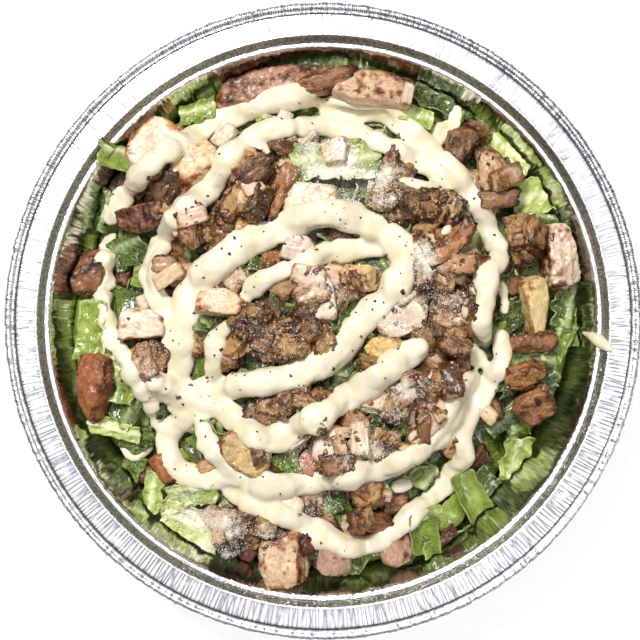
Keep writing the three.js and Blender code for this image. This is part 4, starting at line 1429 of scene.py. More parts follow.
@dataclass
class ChickenPiece:
    """One piece of diced roast chicken, worked up finely from its plain solid in the frame."""

    node: str
    number: int
    cut: Cut
    voxel: float = 0.6
    swell: float = 1.8  # how far it is swollen before it is cut, in mm
    cuts: tuple[float, float] = (1.3, 3.2)  # the least and the deepest cut

    def build(self, frame: dict, material: Material) -> Object:
        """Remeshes the solid finely, roughens it as its cut asks and colours each point.

        Args:
            frame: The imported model.
            material: The finish of its cut.

        Returns:
            The finished piece.
        """
        dice = random.Random(self.number * 7 + 1)
        bm = bmesh.new()
        bm.from_mesh(frame["nodes"][self.node].data)
        bmesh.ops.remove_doubles(bm, verts=bm.verts[:], dist=1e-6)
        bmesh.ops.scale(bm, verts=bm.verts[:], vec=(1 / MM, 1 / MM, 1 / MM))
        bm.normal_update()
        for vert in bm.verts:
            vert.co += vert.normal * self.swell
        carved(bm, dice, self.cuts)
        mesh = smoothed(mesh_of(bm, self.node), 0.5, 1, self.voxel * COARSE)
        self.work(mesh, dice)
        return finish_piece(f"{self.node}_roast", mesh, material, self.cut.value, [self.node])

    def work(self, mesh: Mesh, dice: random.Random) -> None:
        """Roughens and colours the fine mesh in place.

        Args:
            mesh: The piece, in mm.
            dice: What its grain and its crust are drawn from.
        """
        edge = np.clip(edges_of(mesh) / 0.45, -1, 1)
        points, normals = rows(mesh.vertices, "co"), rows(mesh.vertices, "normal")
        middle = points.mean(axis=0)
        spread, axes = np.linalg.eigh(np.cov((points - middle).T))
        own = (points - middle) @ axes[:, np.argsort(spread)[::-1]]
        look = OWN_ROASTS.get(self.number, ROASTS[self.cut])
        seed, turn = dice.uniform(0, 90), dice.uniform(0, math.tau)
        side = look.crust_from or (math.cos(turn), math.sin(turn), 0.1)
        way = np.array(Vector(side).normalized())
        tear = TEARS[self.cut]
        torn = np.array([tear.at(Vector(point), seed) for point in own])
        broad, blot, fine, crumb = (
            noise_at(own, size, seed + size) for size in (9.0, 4.2, 1.7, 1.1)
        )
        rim = np.sort(np.abs(own) / np.abs(own).max(axis=0), axis=1)[:, 1] ** 3
        level = 0.5 * (normals @ way) + 0.6 * edge + 0.75 * rim + 0.6 * blot + 0.45 * fine - 0.42
        brown = np.clip(0.5 + (level + (look.cover - 0.5) * 1.2) * 1.8, 0, 1)
        least = {Cut.PALE: 0.35, Cut.SEARED: 0.7, Cut.CRISP: 1.0}[self.cut]
        rough = least + (1 - least) * brown
        char = np.clip((blot + fine) * 2.2 - 0.5, 0, 1) * brown
        moved = torn[:, 0] * rough + 0.6 * broad + (0.5 * fine + 0.35 * crumb) * rough
        points += normals * moved[:, None]
        points[:, 2] -= max(points[:, 2].max() - TOP, 0.0)
        set_rows(mesh.vertices, "co", kept_in_pan(points))
        # Painted light and shade: raised places lighter, sunk places, crevices and hollows darker;
        # the char is real.
        tone = 1.0 + 0.16 * blot + 0.2 * fine + 0.12 * crumb + 0.2 * np.clip(torn[:, 0], -1, 1)
        deep = torn[:, 1] * (0.35 + 0.65 * brown) + 0.55 * char + 0.5 * np.clip(-edge, 0, 1)
        paint(mesh, roasted(look, brown, np.clip(deep, 0, 1), tone), own + seed)
        mesh.update()


@dataclass(frozen=True)
class Patch:
    """A round place where loose things lie: centre and radius in millimetres, and how many."""

    at: tuple[float, float]
    radius: float
    count: int
    tone: float = 0.5


def patches(*spots: tuple[float, ...]) -> tuple[Patch, ...]:
    """Turns rows of x, y, radius, count and tone into patches."""
    return tuple(Patch((x, y), *rest) for x, y, *rest in spots)


@dataclass
class Scatter:
    """Loose things that fell on the salad, thicker in some places than in others."""

    patches: tuple[Patch, ...]

    @staticmethod
    def place(patch: Patch, dice: random.Random) -> tuple[float, float]:
        """A random place in a patch, thicker towards its middle."""
        way, reach = dice.uniform(0, math.tau), patch.radius * dice.random() ** 0.62
        return patch.at[0] + reach * math.cos(way), patch.at[1] + reach * math.sin(way)

    def hits(
        self, dice: random.Random, ground: Surface, flatness: float = -2.0, times: int = 1
    ) -> Iterator[tuple[Patch, Hit]]:
        """Drops the things one by one.

        Args:
            dice: What their places are drawn from.
            ground: What they land on.
            flatness: The least upward part of the normal where a thing stays.
            times: How many there are for each one that a patch counts.

        Yields:
            The patch, and where a thing landed.
        """
        for patch in self.patches:
            for _ in range(patch.count * times):
                hit = ground.drop(*self.place(patch, dice))
                if hit is not None and hit[1].z >= flatness:
                    yield patch, hit


class Bit:
    """A small lump from -1 to 1 each way, made once and copied many times."""

    def __init__(self, bm: BMesh) -> None:
        """Takes its shape from a bmesh, which is used up."""
        bm.normal_update()
        self.faces = Faces.of(bm)
        self.points = points_of(bm)
        self.normals = np.array([vert.normal for vert in bm.verts])
        bm.free()

    @classmethod
    def ball(cls) -> "Bit":
        """A plain ball."""
        bm = bmesh.new()
        bmesh.ops.create_icosphere(bm, subdivisions=2, radius=1.0)
        return cls(bm)

    @classmethod
    def pushed(cls, bm: BMesh, seed: int, reach: float) -> "Bit":
        """A crumb of a few faces, whose corners are pushed about."""
        dice = random.Random(seed)
        for vert in bm.verts:
            vert.co += Vector([dice.uniform(-reach, reach) for _ in range(3)])
        bmesh.ops.recalc_face_normals(bm, faces=bm.faces[:])
        return cls(bm)

    @classmethod
    def grain(cls, seed: int) -> "Bit":
        """A crumb made from a cube."""
        bm = bmesh.new()
        bmesh.ops.create_cube(bm, size=1.6)
        return cls.pushed(bm, seed, 0.45)

    @classmethod
    def fleck(cls, seed: int) -> "Bit":
        """The finest crumb, of four faces."""
        bm = bmesh.new()
        bmesh.ops.create_cone(
            bm, cap_ends=True, segments=3, radius1=1.0, radius2=0.0, depth=1.5
        )
        bmesh.ops.remove_doubles(bm, verts=bm.verts[:], dist=1e-4)
        return cls.pushed(bm, seed, 0.3)

    @classmethod
    def shard(cls, seed: int) -> "Bit":
        """A broken bit: a block cut by planes, its edges a little worn."""
        dice = random.Random(seed)
        bm = bmesh.new()
        bmesh.ops.create_cube(bm, size=1.9)
        for _ in range(6):
            way = any_way(dice).normalized()
            bmesh.ops.contextual_create(bm, geom=sliced(bm, way * dice.uniform(0.5, 0.85), way))
        bmesh.ops.remove_doubles(bm, verts=bm.verts[:], dist=0.05)
        worn = {"offset": 0.09, "offset_type": "OFFSET", "affect": "EDGES", "segments": 1}
        bmesh.ops.bevel(bm, geom=bm.edges[:], profile=0.5, material=-1, **worn)
        bmesh.ops.recalc_face_normals(bm, faces=bm.faces[:])
        return cls(bm)

    def lay(
        self,
        pile: Pile,
        hit: Hit,
        size: Sequence[float],
        tint: np.ndarray | Sequence[float],
        dice: random.Random,
        sink: float = 0.25,
        turn: float | None = None,
    ) -> None:
        """Lays a copy on a surface, never higher than the salad's top.

        Args:
            pile: What it is added to.
            hit: Where it lies, and the normal there.
            size: Its length, width and height.
            tint: Four shares for all of it, or a row of them for each point.
            dice: What its turn is drawn from, where none is given.
            sink: How far it is pressed in, as a share of its height.
            turn: Direction of its length about Z, in degrees.
        """
        place, normal = hit
        angle = dice.uniform(0, math.tau) if turn is None else math.radians(turn)
        lean = UP.rotation_difference(normal) @ Quaternion(UP, angle)
        points = (self.points * np.array(size) / 2) @ np.array(lean.to_matrix()).T
        points += np.array(place + normal * (size[2] * (0.5 - sink)))
        points[:, 2] -= max(points[:, 2].max() - TOP, 0.0)
        points = kept_in_pan(points)
        tints = np.broadcast_to(np.array(tint), (len(points), 4))
        grain = self.points * np.array(size) / 2 + dice.uniform(0, 60)
        pile.add(points, self.faces, tints, grain)


BALL = Bit.ball()


@dataclass(frozen=True)
class Morsel:
    """A small piece of chicken at a place of its own: size and place in mm, turn in degrees."""

    at: tuple[float, float]
    size: tuple[float, float, float]
    turn: float
    look: Roast


@dataclass
class ChickenMorsels(Scatter):
    """The smaller pieces of chicken: chopped chunks with cut faces and browned edges."""

    placed: tuple[Morsel, ...]
    seed: int = 77
    voxel: float = 0.185
    looks: tuple[Roast, ...] = (
        Roast("E4CAAC", "9A6C40", 0.24), Roast("DEC09A", "8A5E34", 0.3),
        Roast("E2C2A8", "A4714E", 0.26), Roast("C9A074", "70481F", 0.4),
        Roast("BC9064", "6A4020", 0.45), Roast("B48A50", "64421F", 0.45),
        Roast("A67E46", "583A1A", 0.5), Roast("96683A", "482C14", 0.55),
    )

    def chunk(self, seed: int) -> tuple[Bit, np.ndarray, np.ndarray]:
        """One chunk shape.

        Args:
            seed: What its planes and crevices are drawn from; every third is cleanly cut.

        Returns:
            A carved block, remeshed and roughened, how dark each of its points is painted in its
            crevices, as painted shade, and how much each lies on an edge.
        """
        bm = bmesh.new()
        bmesh.ops.create_cube(bm, size=2.1)
        carved(bm, random.Random(seed), (0.05, 0.5), 6)
        mesh = smoothed(mesh_of(bm, "chunk"), 0.5, 1, self.voxel)
        edge = np.clip(edges_of(mesh) / 0.09, -1, 1)
        bm = bmesh.new()
        bm.from_mesh(mesh)
        bpy.data.meshes.remove(mesh)
        bm.normal_update()
        tear = TEARS[list(Cut)[seed % 3]]
        torn = [tear.at(vert.co * 5, seed * 1.7) for vert in bm.verts]
        moves = [vert.normal * (move / 4.5) for vert, (move, _) in zip(bm.verts, torn)]
        for vert, move in zip(bm.verts, moves):
            vert.co += move
        return Bit(bm), np.array([deep for _, deep in torn]), edge

    def build(self, meat: dict[Cut, Material], ground: Surface) -> list[Object]:
        """Lays the morsels.

        Args:
            meat: The finish of each cut.
            ground: What they land on.

        Returns:
            The finished pieces, one for each cut.
        """
        dice = random.Random(self.seed)
        chunks = [self.chunk(i) for i in range(15)]
        piles = {cut: Pile() for cut in Cut}
        morsels = list(self.placed)
        for patch in self.patches:
            for _ in range(patch.count):
                length = dice.uniform(7.0, 15.0)
                size = (length, length * dice.uniform(0.45, 0.8), length * dice.uniform(0.35, 0.55))
                step = min(max(dice.gauss(patch.tone * 8 - 0.5, 1.9), 0), len(self.looks) - 1)
                place, turn = self.place(patch, dice), dice.uniform(0, 360)
                morsels.append(Morsel(place, size, turn, self.looks[round(step)]))
        for morsel in morsels:
            hit = ground.drop(*morsel.at)
            if hit is None:
                continue
            look = morsel.look
            kind = 0 if look.cover < 0.32 else dice.choice((1, 2, 2))
            bit, deep, edge = chunks[kind + 3 * dice.randrange(5)]
            seed = dice.uniform(0, 50)
            way = np.array(any_way(dice).normalized())
            blot, fine = (noise_at(bit.points * 4, size, seed) for size in (3.2, 1.0))
            level = 0.6 * (bit.normals @ way) + 0.6 * edge + 0.6 * blot + 0.4 * fine - 0.2
            brown = np.clip(0.5 + (level + (look.cover - 0.5) * 1.2) * 1.5, 0, 1)
            tone = 1.0 + 0.2 * blot + 0.25 * fine
            # Painted shade in the crevices, stronger on the browned parts.
            tints = roasted(look, brown, deep * (0.3 + 0.7 * brown), tone)
            normal = (hit[1] + UP * 0.8).normalized()
            pile = piles[list(Cut)[kind]]
            bit.lay(pile, (hit[0], normal), morsel.size, tints, dice, 0.4, morsel.turn)
        names = {cut: f"chicken_morsels_{cut.name.lower()}" for cut in Cut}
        return [
            finish_piece(names[cut], pile.mesh(names[cut]), meat[cut], cut.value, [])
            for cut, pile in piles.items()
        ]


PLACED_MORSELS = tuple(
    Morsel((x, y), (length, width, height), turn, Roast(*look))
    for x, y, length, width, height, turn, *look in (
        (1.5, 87.5, 20, 8, 6, 12, "B07E58", "5C371C", 0.62),
        (-6.5, 95.5, 11, 4.5, 4, 15, "A8763F", "5C371C", 0.6),
        (30.5, 82.5, 8, 4, 4, 80, "E6CCB4", "B07E56", 0.2),
        (-50, 72, 9, 5, 4.5, 20, "DCB26E", "965C26", 0.4),
        (-16, 71, 9, 6, 5, 0, "DABC94", "986A3A", 0.3),
        (-24, 61, 10, 5, 5, 60, "BC9068", "57301A", 0.6),
        (24, 56.5, 14, 5, 5, 60, "A26C3E", "57301A", 0.6),
        (32, 65.5, 10, 6, 5, 20, "80603E", "402410", 0.7),
        (56, 69, 10, 5, 5, -30, "BC9068", "663A18", 0.5),
        (-19, 21.5, 11, 7, 6, 10, "A8763F", "663A18", 0.6),
        (-65, 7, 9, 6, 5, 20, "E6CCB4", "B07E56", 0.2),
        (-76, 51, 8, 6, 5, 40, "8A5C34", "4E2E18", 0.6),
        (-74, 18, 9, 6, 5, 70, "93592F", "522812", 0.6),
        (69, 13, 10, 8, 6, 80, "8A5C34", "442612", 0.6),
        (47, -8, 11, 8, 6, -30, "BC9068", "663A18", 0.5),
        (85.5, -30, 9, 7, 5, 10, "EADAB8", "D0A868", 0.3),
        (57, -51, 11, 8, 6, 30, "A8763F", "57301A", 0.5),
        (-5.5, -52, 9, 7, 6, 70, "BC7C64", "7A3E28", 0.4),
        (-5.5, -67.5, 9, 6, 5, 80, "5E3822", "341C0E", 0.7),
        (-33, -82, 9, 7, 6, 20, "663A18", "341C0E", 0.7),
        (-28, -86.5, 8, 6, 6, 60, "B26C58", "7A3622", 0.4),
        (-7, -81, 8, 8, 6, 20, "7C402A", "4E2414", 0.6),
        (26, -66, 10, 7, 5, 10, "BC9068", "6E421E", 0.5),
        (45, -78, 8, 5, 5, 30, "965C3A", "57301A", 0.5),
        (-65.5, -56, 9, 6, 5, 30, "AA6A32", "623616", 0.6),
    )
)

MORSEL_PATCHES = patches(
    (-22, -6, 19, 26, 0.72), (-2, 12, 16, 14, 0.35), (44, 8, 16, 22, 0.6), (34, 18, 10, 8, 0.4),
    (36, 42, 15, 16, 0.75), (-45, 37, 15, 14, 0.5), (-60, 47, 10, 6, 0.7), (24, -32, 18, 22, 0.35),
    (42, -20, 12, 10, 0.45), (8, -46, 18, 16, 0.3), (-24, 50, 13, 11, 0.5), (-14, -31, 15, 11, 0.3),
    (-34, 24, 12, 8, 0.35), (60, 50, 12, 6, 0.65), (70, 24, 9, 4, 0.6), (-26, -74, 13, 9, 0.55),
    (8, -70, 18, 10, 0.4), (54, -34, 10, 6, 0.5), (-30, -48, 14, 8, 0.4), (-52, 12, 12, 7, 0.4),
    (-55, -10, 12, 7, 0.35), (10, 32, 10, 4, 0.3), (-10, 73, 10, 5, 0.45),
)


@dataclass
class ChickenCrumbs(Scatter):
    """What crumbled off the chicken: brown crumbs and paler shreds of fibre."""

    seed: int = 21
    tones: tuple[str, ...] = ("4A2C16", "66421F", "80562E", "986A3E", "AE8254", "C8A87C", "D8BE98")

    def build(self, material: Material, ground: Surface) -> Object:
        """Scatters the crumbs.

        Args:
            material: Their finish.
            ground: What they land on.

        Returns:
            The finished piece.
        """
        dice = random.Random(self.seed)
        shards = [Bit.shard(i) for i in range(10)]
        pile = Pile()
        for patch, hit in self.hits(dice, ground, 0.15):
            size = min(dice.lognormvariate(0.35, 0.4), 3.2)
            stretch = dice.choice((1.1, 1.3, 1.9))
            shape = (size * stretch, size, size * dice.uniform(0.5, 0.8))
            step = min(max(dice.gauss(patch.tone * 6, 1.3), 0), len(self.tones) - 1)
            tint = srgb(self.tones[round(step)])
            dice.choice(shards).lay(pile, hit, shape, tint, dice, sink=0.35)
        mesh = pile.mesh("chicken_crumbs")
        return finish_piece("chicken_crumbs", mesh, material, Cut.CRISP.value, [])


CRUMB_PATCHES = patches(
    (-20, -6, 22, 70, 0.4), (44, 4, 19, 80, 0.4), (38, 41, 16, 60, 0.35), (-46, 37, 15, 45, 0.35),
    (-24, 52, 13, 25, 0.45), (72, 27, 11, 22, 0.35), (58, 56, 10, 15, 0.35),
    (-15, -32, 16, 40, 0.45), (24, -34, 19, 70, 0.4), (4, -47, 18, 45, 0.45),
    (-62, -20, 9, 12, 0.5), (-28, -75, 12, 30, 0.35), (5, -76, 18, 25, 0.45),
    (76, -25, 9, 16, 0.35), (0, 12, 24, 45, 0.5),
)


# ---- Dressing ----


@dataclass(frozen=True)
class Stroke:
    """One pass of the squeeze bottle, as the line it follows and its width in millimetres.

    Beads are drops that part from one another: how deep the necks between them are, from 0 to 1.
    """

    name: str
    line: tuple[tuple[float, float], ...]
    width: float
    end_width: float = 0.0
    beads: float = 0.0
    swell: float = 0.2

    def width_at(self, share: float) -> float:
        """Its width at a share of its length."""
        last = self.end_width or self.width
        return self.width + (last - self.width) * share


STROKES = tuple(
    Stroke(name, tuple(zip(line[::2], line[1::2])), *widths)
    for name, widths, line in (
        ("back_arc", (8.2,), (
            -3, 81.5, -12, 81.5, -23, 79, -33.5, 75.5, -42.5, 71.5, -51.5, 64, -60.5, 56.5, -68.7,
            50, -74.5, 44, -79, 37.5,
        )),
        ("left_beads", (6.4, 8.5, 0.5), (
            -78, 32.5, -81, 26, -79.5, 18, -81, 10.5, -78, 0, -76.5, -7.5, -70.5, -14.5, -68, -21,
            -63, -28, -62.5, -34.5, -58, -39.5,
        )),
        ("inner_back_arc", (7.5, 8.5), (
            42, 52.5, 36.5, 56.5, 27.5, 62, 18.5, 66, 9.5, 70, 0.5, 71.5, -8.5, 70.5, -19, 69, -27,
            65.5, -33, 60, -38, 52, -43, 46.5, -48.5, 41, -55, 35, -59.5, 27.5, -62.5, 20.5, -62.5,
            13.5, -58.5, 6, -54.5, 0.5,
        )),
        ("hook", (4.5,), (-30, 64.5, -23.5, 65.5, -20, 61)),
        ("right_arc", (7.4, 7.4), (
            0, 79, 3.5, 79, 10, 78, 19, 77.5, 23.5, 76.5, 28.5, 72, 35, 67.5, 41.5, 60, 47.5, 54,
            52, 47.5, 57, 39.5, 61, 32.5, 63.5, 26.5, 62, 20.5, 58.5, 17, 58.5, 11, 57, 5, 56.5,
            -1, 58, -6,
        )),
        ("wall_drip", (6.0,), (49, 78.5, 47.5, 72, 42, 69, 41, 62)),
        ("thin_cross", (4.5,), (27.5, 50.5, 36.5, 48.5, 47.5, 49.5)),
        ("small_blob", (5.5,), (22.5, 54, 24, 53)),
        ("round_drop", (6.0,), (43.5, 32.5, 44, 32)),
        ("thin_right", (4.0,), (65, 14, 66, 8, 66, 3.5)),
        ("right_to_bottom", (6.2, 8.6), (
            65, -4.5, 65, -11, 63.5, -16.5, 60.5, -22.5, 58, -28, 54.5, -33.5, 52, -39, 51, -44.5,
            52, -49.5, 47.5, -54, 45.5, -59.5, 41.5, -64, 35, -67.5, 29.5, -73, 23.5, -78.5, 16,
            -82, 8, -81.5, 0.5, -78.5, -5.5, -75, -11, -72, -17.5, -69.5, -23.5, -67, -30, -64,
            -34, -61,
        )),
        ("blob_strand", (6.5,), (54.5, -8.5, 56, -13, 60, -16)),
        ("third_arc", (8.4, 8.8), (
            54.5, -20, 51, -25, 48, -31, 45.5, -37, 41.5, -42.5, 35, -47, 27.5, -50.5, 20, -52.5,
            11.5, -54, 4.5, -57, -3, -58.5, -12, -59, -22, -59.5, -30, -60.5, -35, -61,
        )),
        ("fourth_arc", (10.0, 7.6), (
            35, -9, 27.5, -13.5, 20.5, -19, 13.5, -24.5, 6, -29, -1, -33.5, -7.5, -36.5, -12.5,
            -40.5, -20, -42.5, -26.5, -39.5, -31.5, -35.5, -38, -31.5, -44.5, -30, -49.5, -34.5,
            -56, -39.5, -57.5, -46, -54.5, -52, -49.5, -56, -42.5, -57.5, -35, -57,
        )),
        ("inner_loop", (7.5,), (-45, -34.5, -42.5, -40.5, -39.5, -47, -35.5, -52.5, -30.5, -57.5)),
        ("fifth_arc", (10.5, 8.8), (
            -52, -18, -52, -10, -51.5, -3, -49.5, 4.5, -47, 11, -42, 17, -35.5, 22.5, -28, 27.5,
            -20, 31.5, -12, 34.5, -4, 38, 6, 38, 15, 35.5, 23.5, 31, 29, 25, 28.5, 18.5, 25.5,
            12.5, 22.5, 8, 17, 3.5, 12, -2, 8.5, -8.5, 2.5, -13.5, -6.5, -18, -17.5, -21, -28,
            -22.5, -39, -24, -48, -27.5, -54.5, -31,
        )),
        ("core_line", (7.5,), (
            -27.5, 8.5, -24, 13, -17.5, 16.5, -8.5, 21, 2.5, 24.5, 13.5, 26, 24, 27,
        )),
        ("core_pool", (11.5, 9.0), (15.5, 33, 23, 30.5, 27.5, 25, 27.5, 20)),
        ("left_pool", (12.0, 10.0), (-60, -22, -53, -25.5, -46, -29)),
        ("upright_line", (6.5,), (-34, -1, -38, -7, -39, -14.5, -39.5, -21.5)),
        ("small_line", (5.5,), (26, -60.5, 32, -59)),
        ("wall_smear", (3.2,), (-75, -47, -70, -51, -63, -47)),
    )
)


@dataclass
class DressingSwirls:
    """The dressing, piped in loose spirals: plump ropes that sag over whatever they cross."""

    strokes: tuple[Stroke, ...]
    step: float = 1.4
    voxel: float = 0.7
    ceiling: float = 46.8  # the highest that a rope's underside lies
    section: tuple[tuple[float, float, float], ...] = (  # offset, size and rise, as shares
        (-0.34, 0.36, 0.0),
        (0.34, 0.36, 0.0),
        (-0.18, 0.56, 0.07),
        (0.18, 0.56, 0.07),
        (0.0, 0.72, 0.1),
    )
    reach: int = 6  # how many places each way even out a rope's height
    bead: float = 7.4  # length of a bead, in mm
    tip: float = 0.74  # width of a rope's ends, as a share

    def samples(self, stroke: Stroke) -> list[tuple[Vector, Vector, float]]:
        """Evenly spaced places along a stroke.

        Args:
            stroke: The stroke.

        Returns:
            Each place, the way across the stroke there, and its width.
        """
        line = self.rounded([Vector((x, y, 0.0)) for x, y in stroke.line])
        lengths = [0.0]
        for a, b in zip(line, line[1:]):
            lengths.append(lengths[-1] + (b - a).length)
        total = lengths[-1]
        count = max(int(total / self.step), 2)
        found, at = [], 0
        seed = Vector((len(stroke.name) * 3.1, stroke.line[0][0], stroke.line[0][1]))
        for i in range(count + 1):
            goal = total * i / count
            while at < len(lengths) - 2 and lengths[at + 1] < goal:
                at += 1
            share = (goal - lengths[at]) / max(lengths[at + 1] - lengths[at], 1e-6)
            place = line[at].lerp(line[at + 1], share)
            ahead = (line[min(at + 1, len(line) - 1)] - line[at]).normalized()
            across = Vector((-ahead.y, ahead.x, 0.0))
            width = stroke.width_at(i / count)
            width *= 1.13 + stroke.swell * noise.noise(seed + Vector((goal / 7.0, 0, 0))) * 1.9
            width *= 1 - 0.24 * smoothstep(0.2, 0.5, noise.noise(seed + Vector((9, goal / 3.4, 0))))
            place += across * (0.9 * noise.noise(seed + Vector((0, goal / 10.0, 5))))
            if stroke.beads:
                neck = math.sin(goal / self.bead * math.pi) ** 2
                width *= 1 - stroke.beads * (1 - neck) ** 3
            found.append((place, across, width))
        return found

    @staticmethod
    def rounded(points: Sequence[Vector]) -> list[Vector]:
        """A smooth line through points."""
        ends = [points[0] * 2 - points[1], *points, points[-1] * 2 - points[-2]]
        line: list[Vector] = []
        for a, b, c, d in zip(ends, ends[1:], ends[2:], ends[3:]):
            for i in range(8):
                t = i / 8
                curved = (2 * a - 5 * b + 4 * c - d) * t**2 + (3 * b - a - 3 * c + d) * t**3
                line.append(0.5 * (2 * b + (c - a) * t + curved))
        line.append(points[-1].copy())
        return line

    def heights(
        self, places: Sequence[Vector], widths: Sequence[float], ground: Surface
    ) -> list[float]:
        """Height of what a line of dressing lies on: it bridges gaps and sags into wide ones.

        Args:
            places: Places along the line.
            widths: The dressing's width at each.
            ground: What it lies on.

        Returns:
            The height of the dressing's underside at each place.
        """
        raw = []
        for place, width in zip(places, widths):
            reach = 0.3 * width
            around = [(0, 0), (reach, 0), (-reach, 0), (0, reach), (0, -reach)]
            bare = DOME.height(place.x, place.y)
            found = sorted(ground.height(place.x + dx, place.y + dy, bare) for dx, dy in around)
            raw.append(0.5 * found[-2] + 0.5 * found[2])
        taut = [max(raw[max(i - 2, 0) : i + 3]) for i in range(len(raw))]
        mixed = [0.45 * a + 0.55 * b for a, b in zip(raw, taut)]
        around, last = range(-self.reach, self.reach + 1), len(mixed) - 1
        weights = [math.exp(-((k / 2.6) ** 2)) for k in around]
        smooth = []
        for i in range(last + 1):
            near = [mixed[min(max(i + k, 0), last)] for k in around]
            smooth.append(sum(w * h for w, h in zip(weights, near)) / sum(weights))
        return [min(height, self.ceiling) for height in smooth]

    def build(self, material: Material, ground: Surface) -> Object:
        """Pipes the dressing onto the food.

        Args:
            material: The dressing's finish.
            ground: What it lies on.

        Returns:
            The finished piece.
        """
        pile = Pile()
        for stroke in self.strokes:
            found = self.samples(stroke)
            last = len(found) - 1
            widths = [width for _, _, width in found]
            centre = self.heights([place for place, _, _ in found], widths, ground)
            for offset, size, rise in self.section:
                places = [place + across * (offset * width) for place, across, width in found]
                heights = self.heights(places, widths, ground)
                for i, (place, width) in enumerate(zip(places, widths)):
                    inner = min(i, last - i) * self.step / width
                    narrow = self.tip + (1 - self.tip) * min(inner * 2, 1)
                    girth = size * width * narrow
                    tall = girth * (0.72 if offset else 0.6)
                    across_tip = (places[i] - found[i][0]) * (narrow - 1)
                    place = place + across_tip
                    height = 0.55 * heights[i] + 0.45 * min(centre[i], heights[i] + 2.5)
                    pile.add_ball((place.x, place.y, height + rise * width), (girth, girth, tall))
        rounds = round(10 / COARSE**2)
        mesh = smoothed(pile.mesh("dressing_swirls"), 0.6, rounds, self.voxel * COARSE)
        points, normals = rows(mesh.vertices, "co"), rows(mesh.vertices, "normal")
        moved = 0.4 * noise_at(points, 3.8, 2.0) + 0.08 * noise_at(points, 1.6, 4.0)
        set_rows(mesh.vertices, "co", points + normals * moved[:, None])
        return finish_piece("dressing_swirls", mesh, material, "dressing", [HEAP_NODE])


@dataclass
class RimDrop:
    """The single drop of dressing that landed across the ledge and the flange."""

    line: tuple[tuple[float, float, float], ...] = (
        (95.2, -4.2, 34.6), (97.2, -5.4, 39.0), (99.0, -6.8, 41.0), (100.6, -8.2, 42.2),
        (101.8, -9.3, 44.2), (102.8, -10.1, 44.6),
    )
    widths: tuple[float, ...] = (1.5, 3.6, 4.8, 4.6, 3.4, 1.5)

    def build(self, material: Material) -> Object:
        """Makes the drop.

        Args:
            material: The dressing's finish.

        Returns:
            The finished piece.
        """
        pile = Pile()
        line, widths = np.array(self.line), self.widths
        for start, end, w0, w1 in zip(line, line[1:], widths, widths[1:]):
            for i in range(4):
                share = i / 4
                width = w0 + (w1 - w0) * share
                middle = start * (1 - share) + end * share
                pile.add_ball(middle, (width, width, max(width * 0.5, 1.2)))
        mesh = smoothed(pile.mesh("dressing_drop"), 0.6, 5, 0.35)
        return finish_piece("dressing_drop", mesh, material, "dressing", [])


# ---- Cheese and pepper ----


@dataclass
class GratedCheese(Scatter):
    """Finely grated hard cheese, thrown on last: it lies in drifts on leaves, meat and dressing."""

    seed: int = 33

    def build(self, material: Material, ground: Surface, dressing: Surface) -> Object:
        """Scatters the cheese.

        Args:
            material: Its finish.
            ground: What it lands on.
            dressing: The dressing alone, which hides most of what falls on it.

        Returns:
            The finished piece.
        """
        dice = random.Random(self.seed)
        grains = [Bit.fleck(40 + i) for i in range(8)]
        pile = Pile()
        for _, hit in self.hits(dice, ground, 0.3, 2):
            covered = dressing.height(hit[0].x, hit[0].y, 0.0) > hit[0].z - 0.05
            if covered and dice.random() > 0.05:
                continue
            size = min(dice.lognormvariate(-1.2, 0.4), 1.0)
            shape = (size * dice.uniform(0.9, 1.8), size, size * dice.uniform(0.5, 0.8))
            tone = dice.random()
            dice.choice(grains).lay(pile, hit, shape, (tone, tone, tone, 1.0), dice, sink=0.1)
        return finish_piece("grated_cheese", pile.mesh("grated_cheese"), material, "parmesan", [])


CHEESE_PATCHES = patches(
    (4, 56, 15, 1300, 0.75), (18, 49, 11, 800, 0.75), (-14, 74, 9, 400, 0.6), (-3, 65, 8, 350, 0.6),
    (33, 21, 8, 600, 0.85), (28, 4, 12, 420, 0.45), (44, 8, 9, 260, 0.3), (0, 12, 10, 300, 0.3),
    (-38, 9, 6, 240, 0.6), (-22, -10, 15, 300, 0.2), (-9, -42, 13, 500, 0.4),
    (26, -26, 13, 600, 0.55), (16, -46, 13, 400, 0.4), (-40, -76, 13, 900, 0.65),
    (-50, -68, 10, 400, 0.6), (-21, -77, 8, 260, 0.4), (-2, -66, 9, 250, 0.3),
    (-62, -17, 10, 240, 0.3), (48, 44, 12, 160, 0.25), (-30, 16, 12, 240, 0.3),
    (0, 0, 55, 700, 0.1), (0, 0, 88, 300, 0.04),
)


@dataclass
class GroundPepper(Scatter):
    """Coarsely ground black pepper in the dressing and here and there on the food."""

    seed: int = 8

    def build(self, material: Material, ground: Surface) -> Object:
        """Scatters the pepper.

        Args:
            material: Its finish.
            ground: What it lands on.

        Returns:
            The finished piece.
        """
        dice = random.Random(self.seed)
        flecks = [Bit.grain(60 + i) for i in range(5)]
        pile = Pile()
        for _, hit in self.hits(dice, ground):
            size = min(dice.lognormvariate(-0.7, 0.4), 1.4)
            shape = (size * dice.uniform(1.0, 1.6), size, size * 0.6)
            tone = dice.random()
            dice.choice(flecks).lay(pile, hit, shape, (tone, tone, tone, 1.0), dice, sink=0.35)
        return finish_piece("ground_pepper", pile.mesh("ground_pepper"), material, "pepper", [])


PEPPER_PATCHES = patches(
    (0, 0, 86, 190), (5, 38, 16, 26), (-30, 25, 16, 20), (15, 8, 14, 16), (-45, -20, 18, 24),
)


# ---- Studio ----


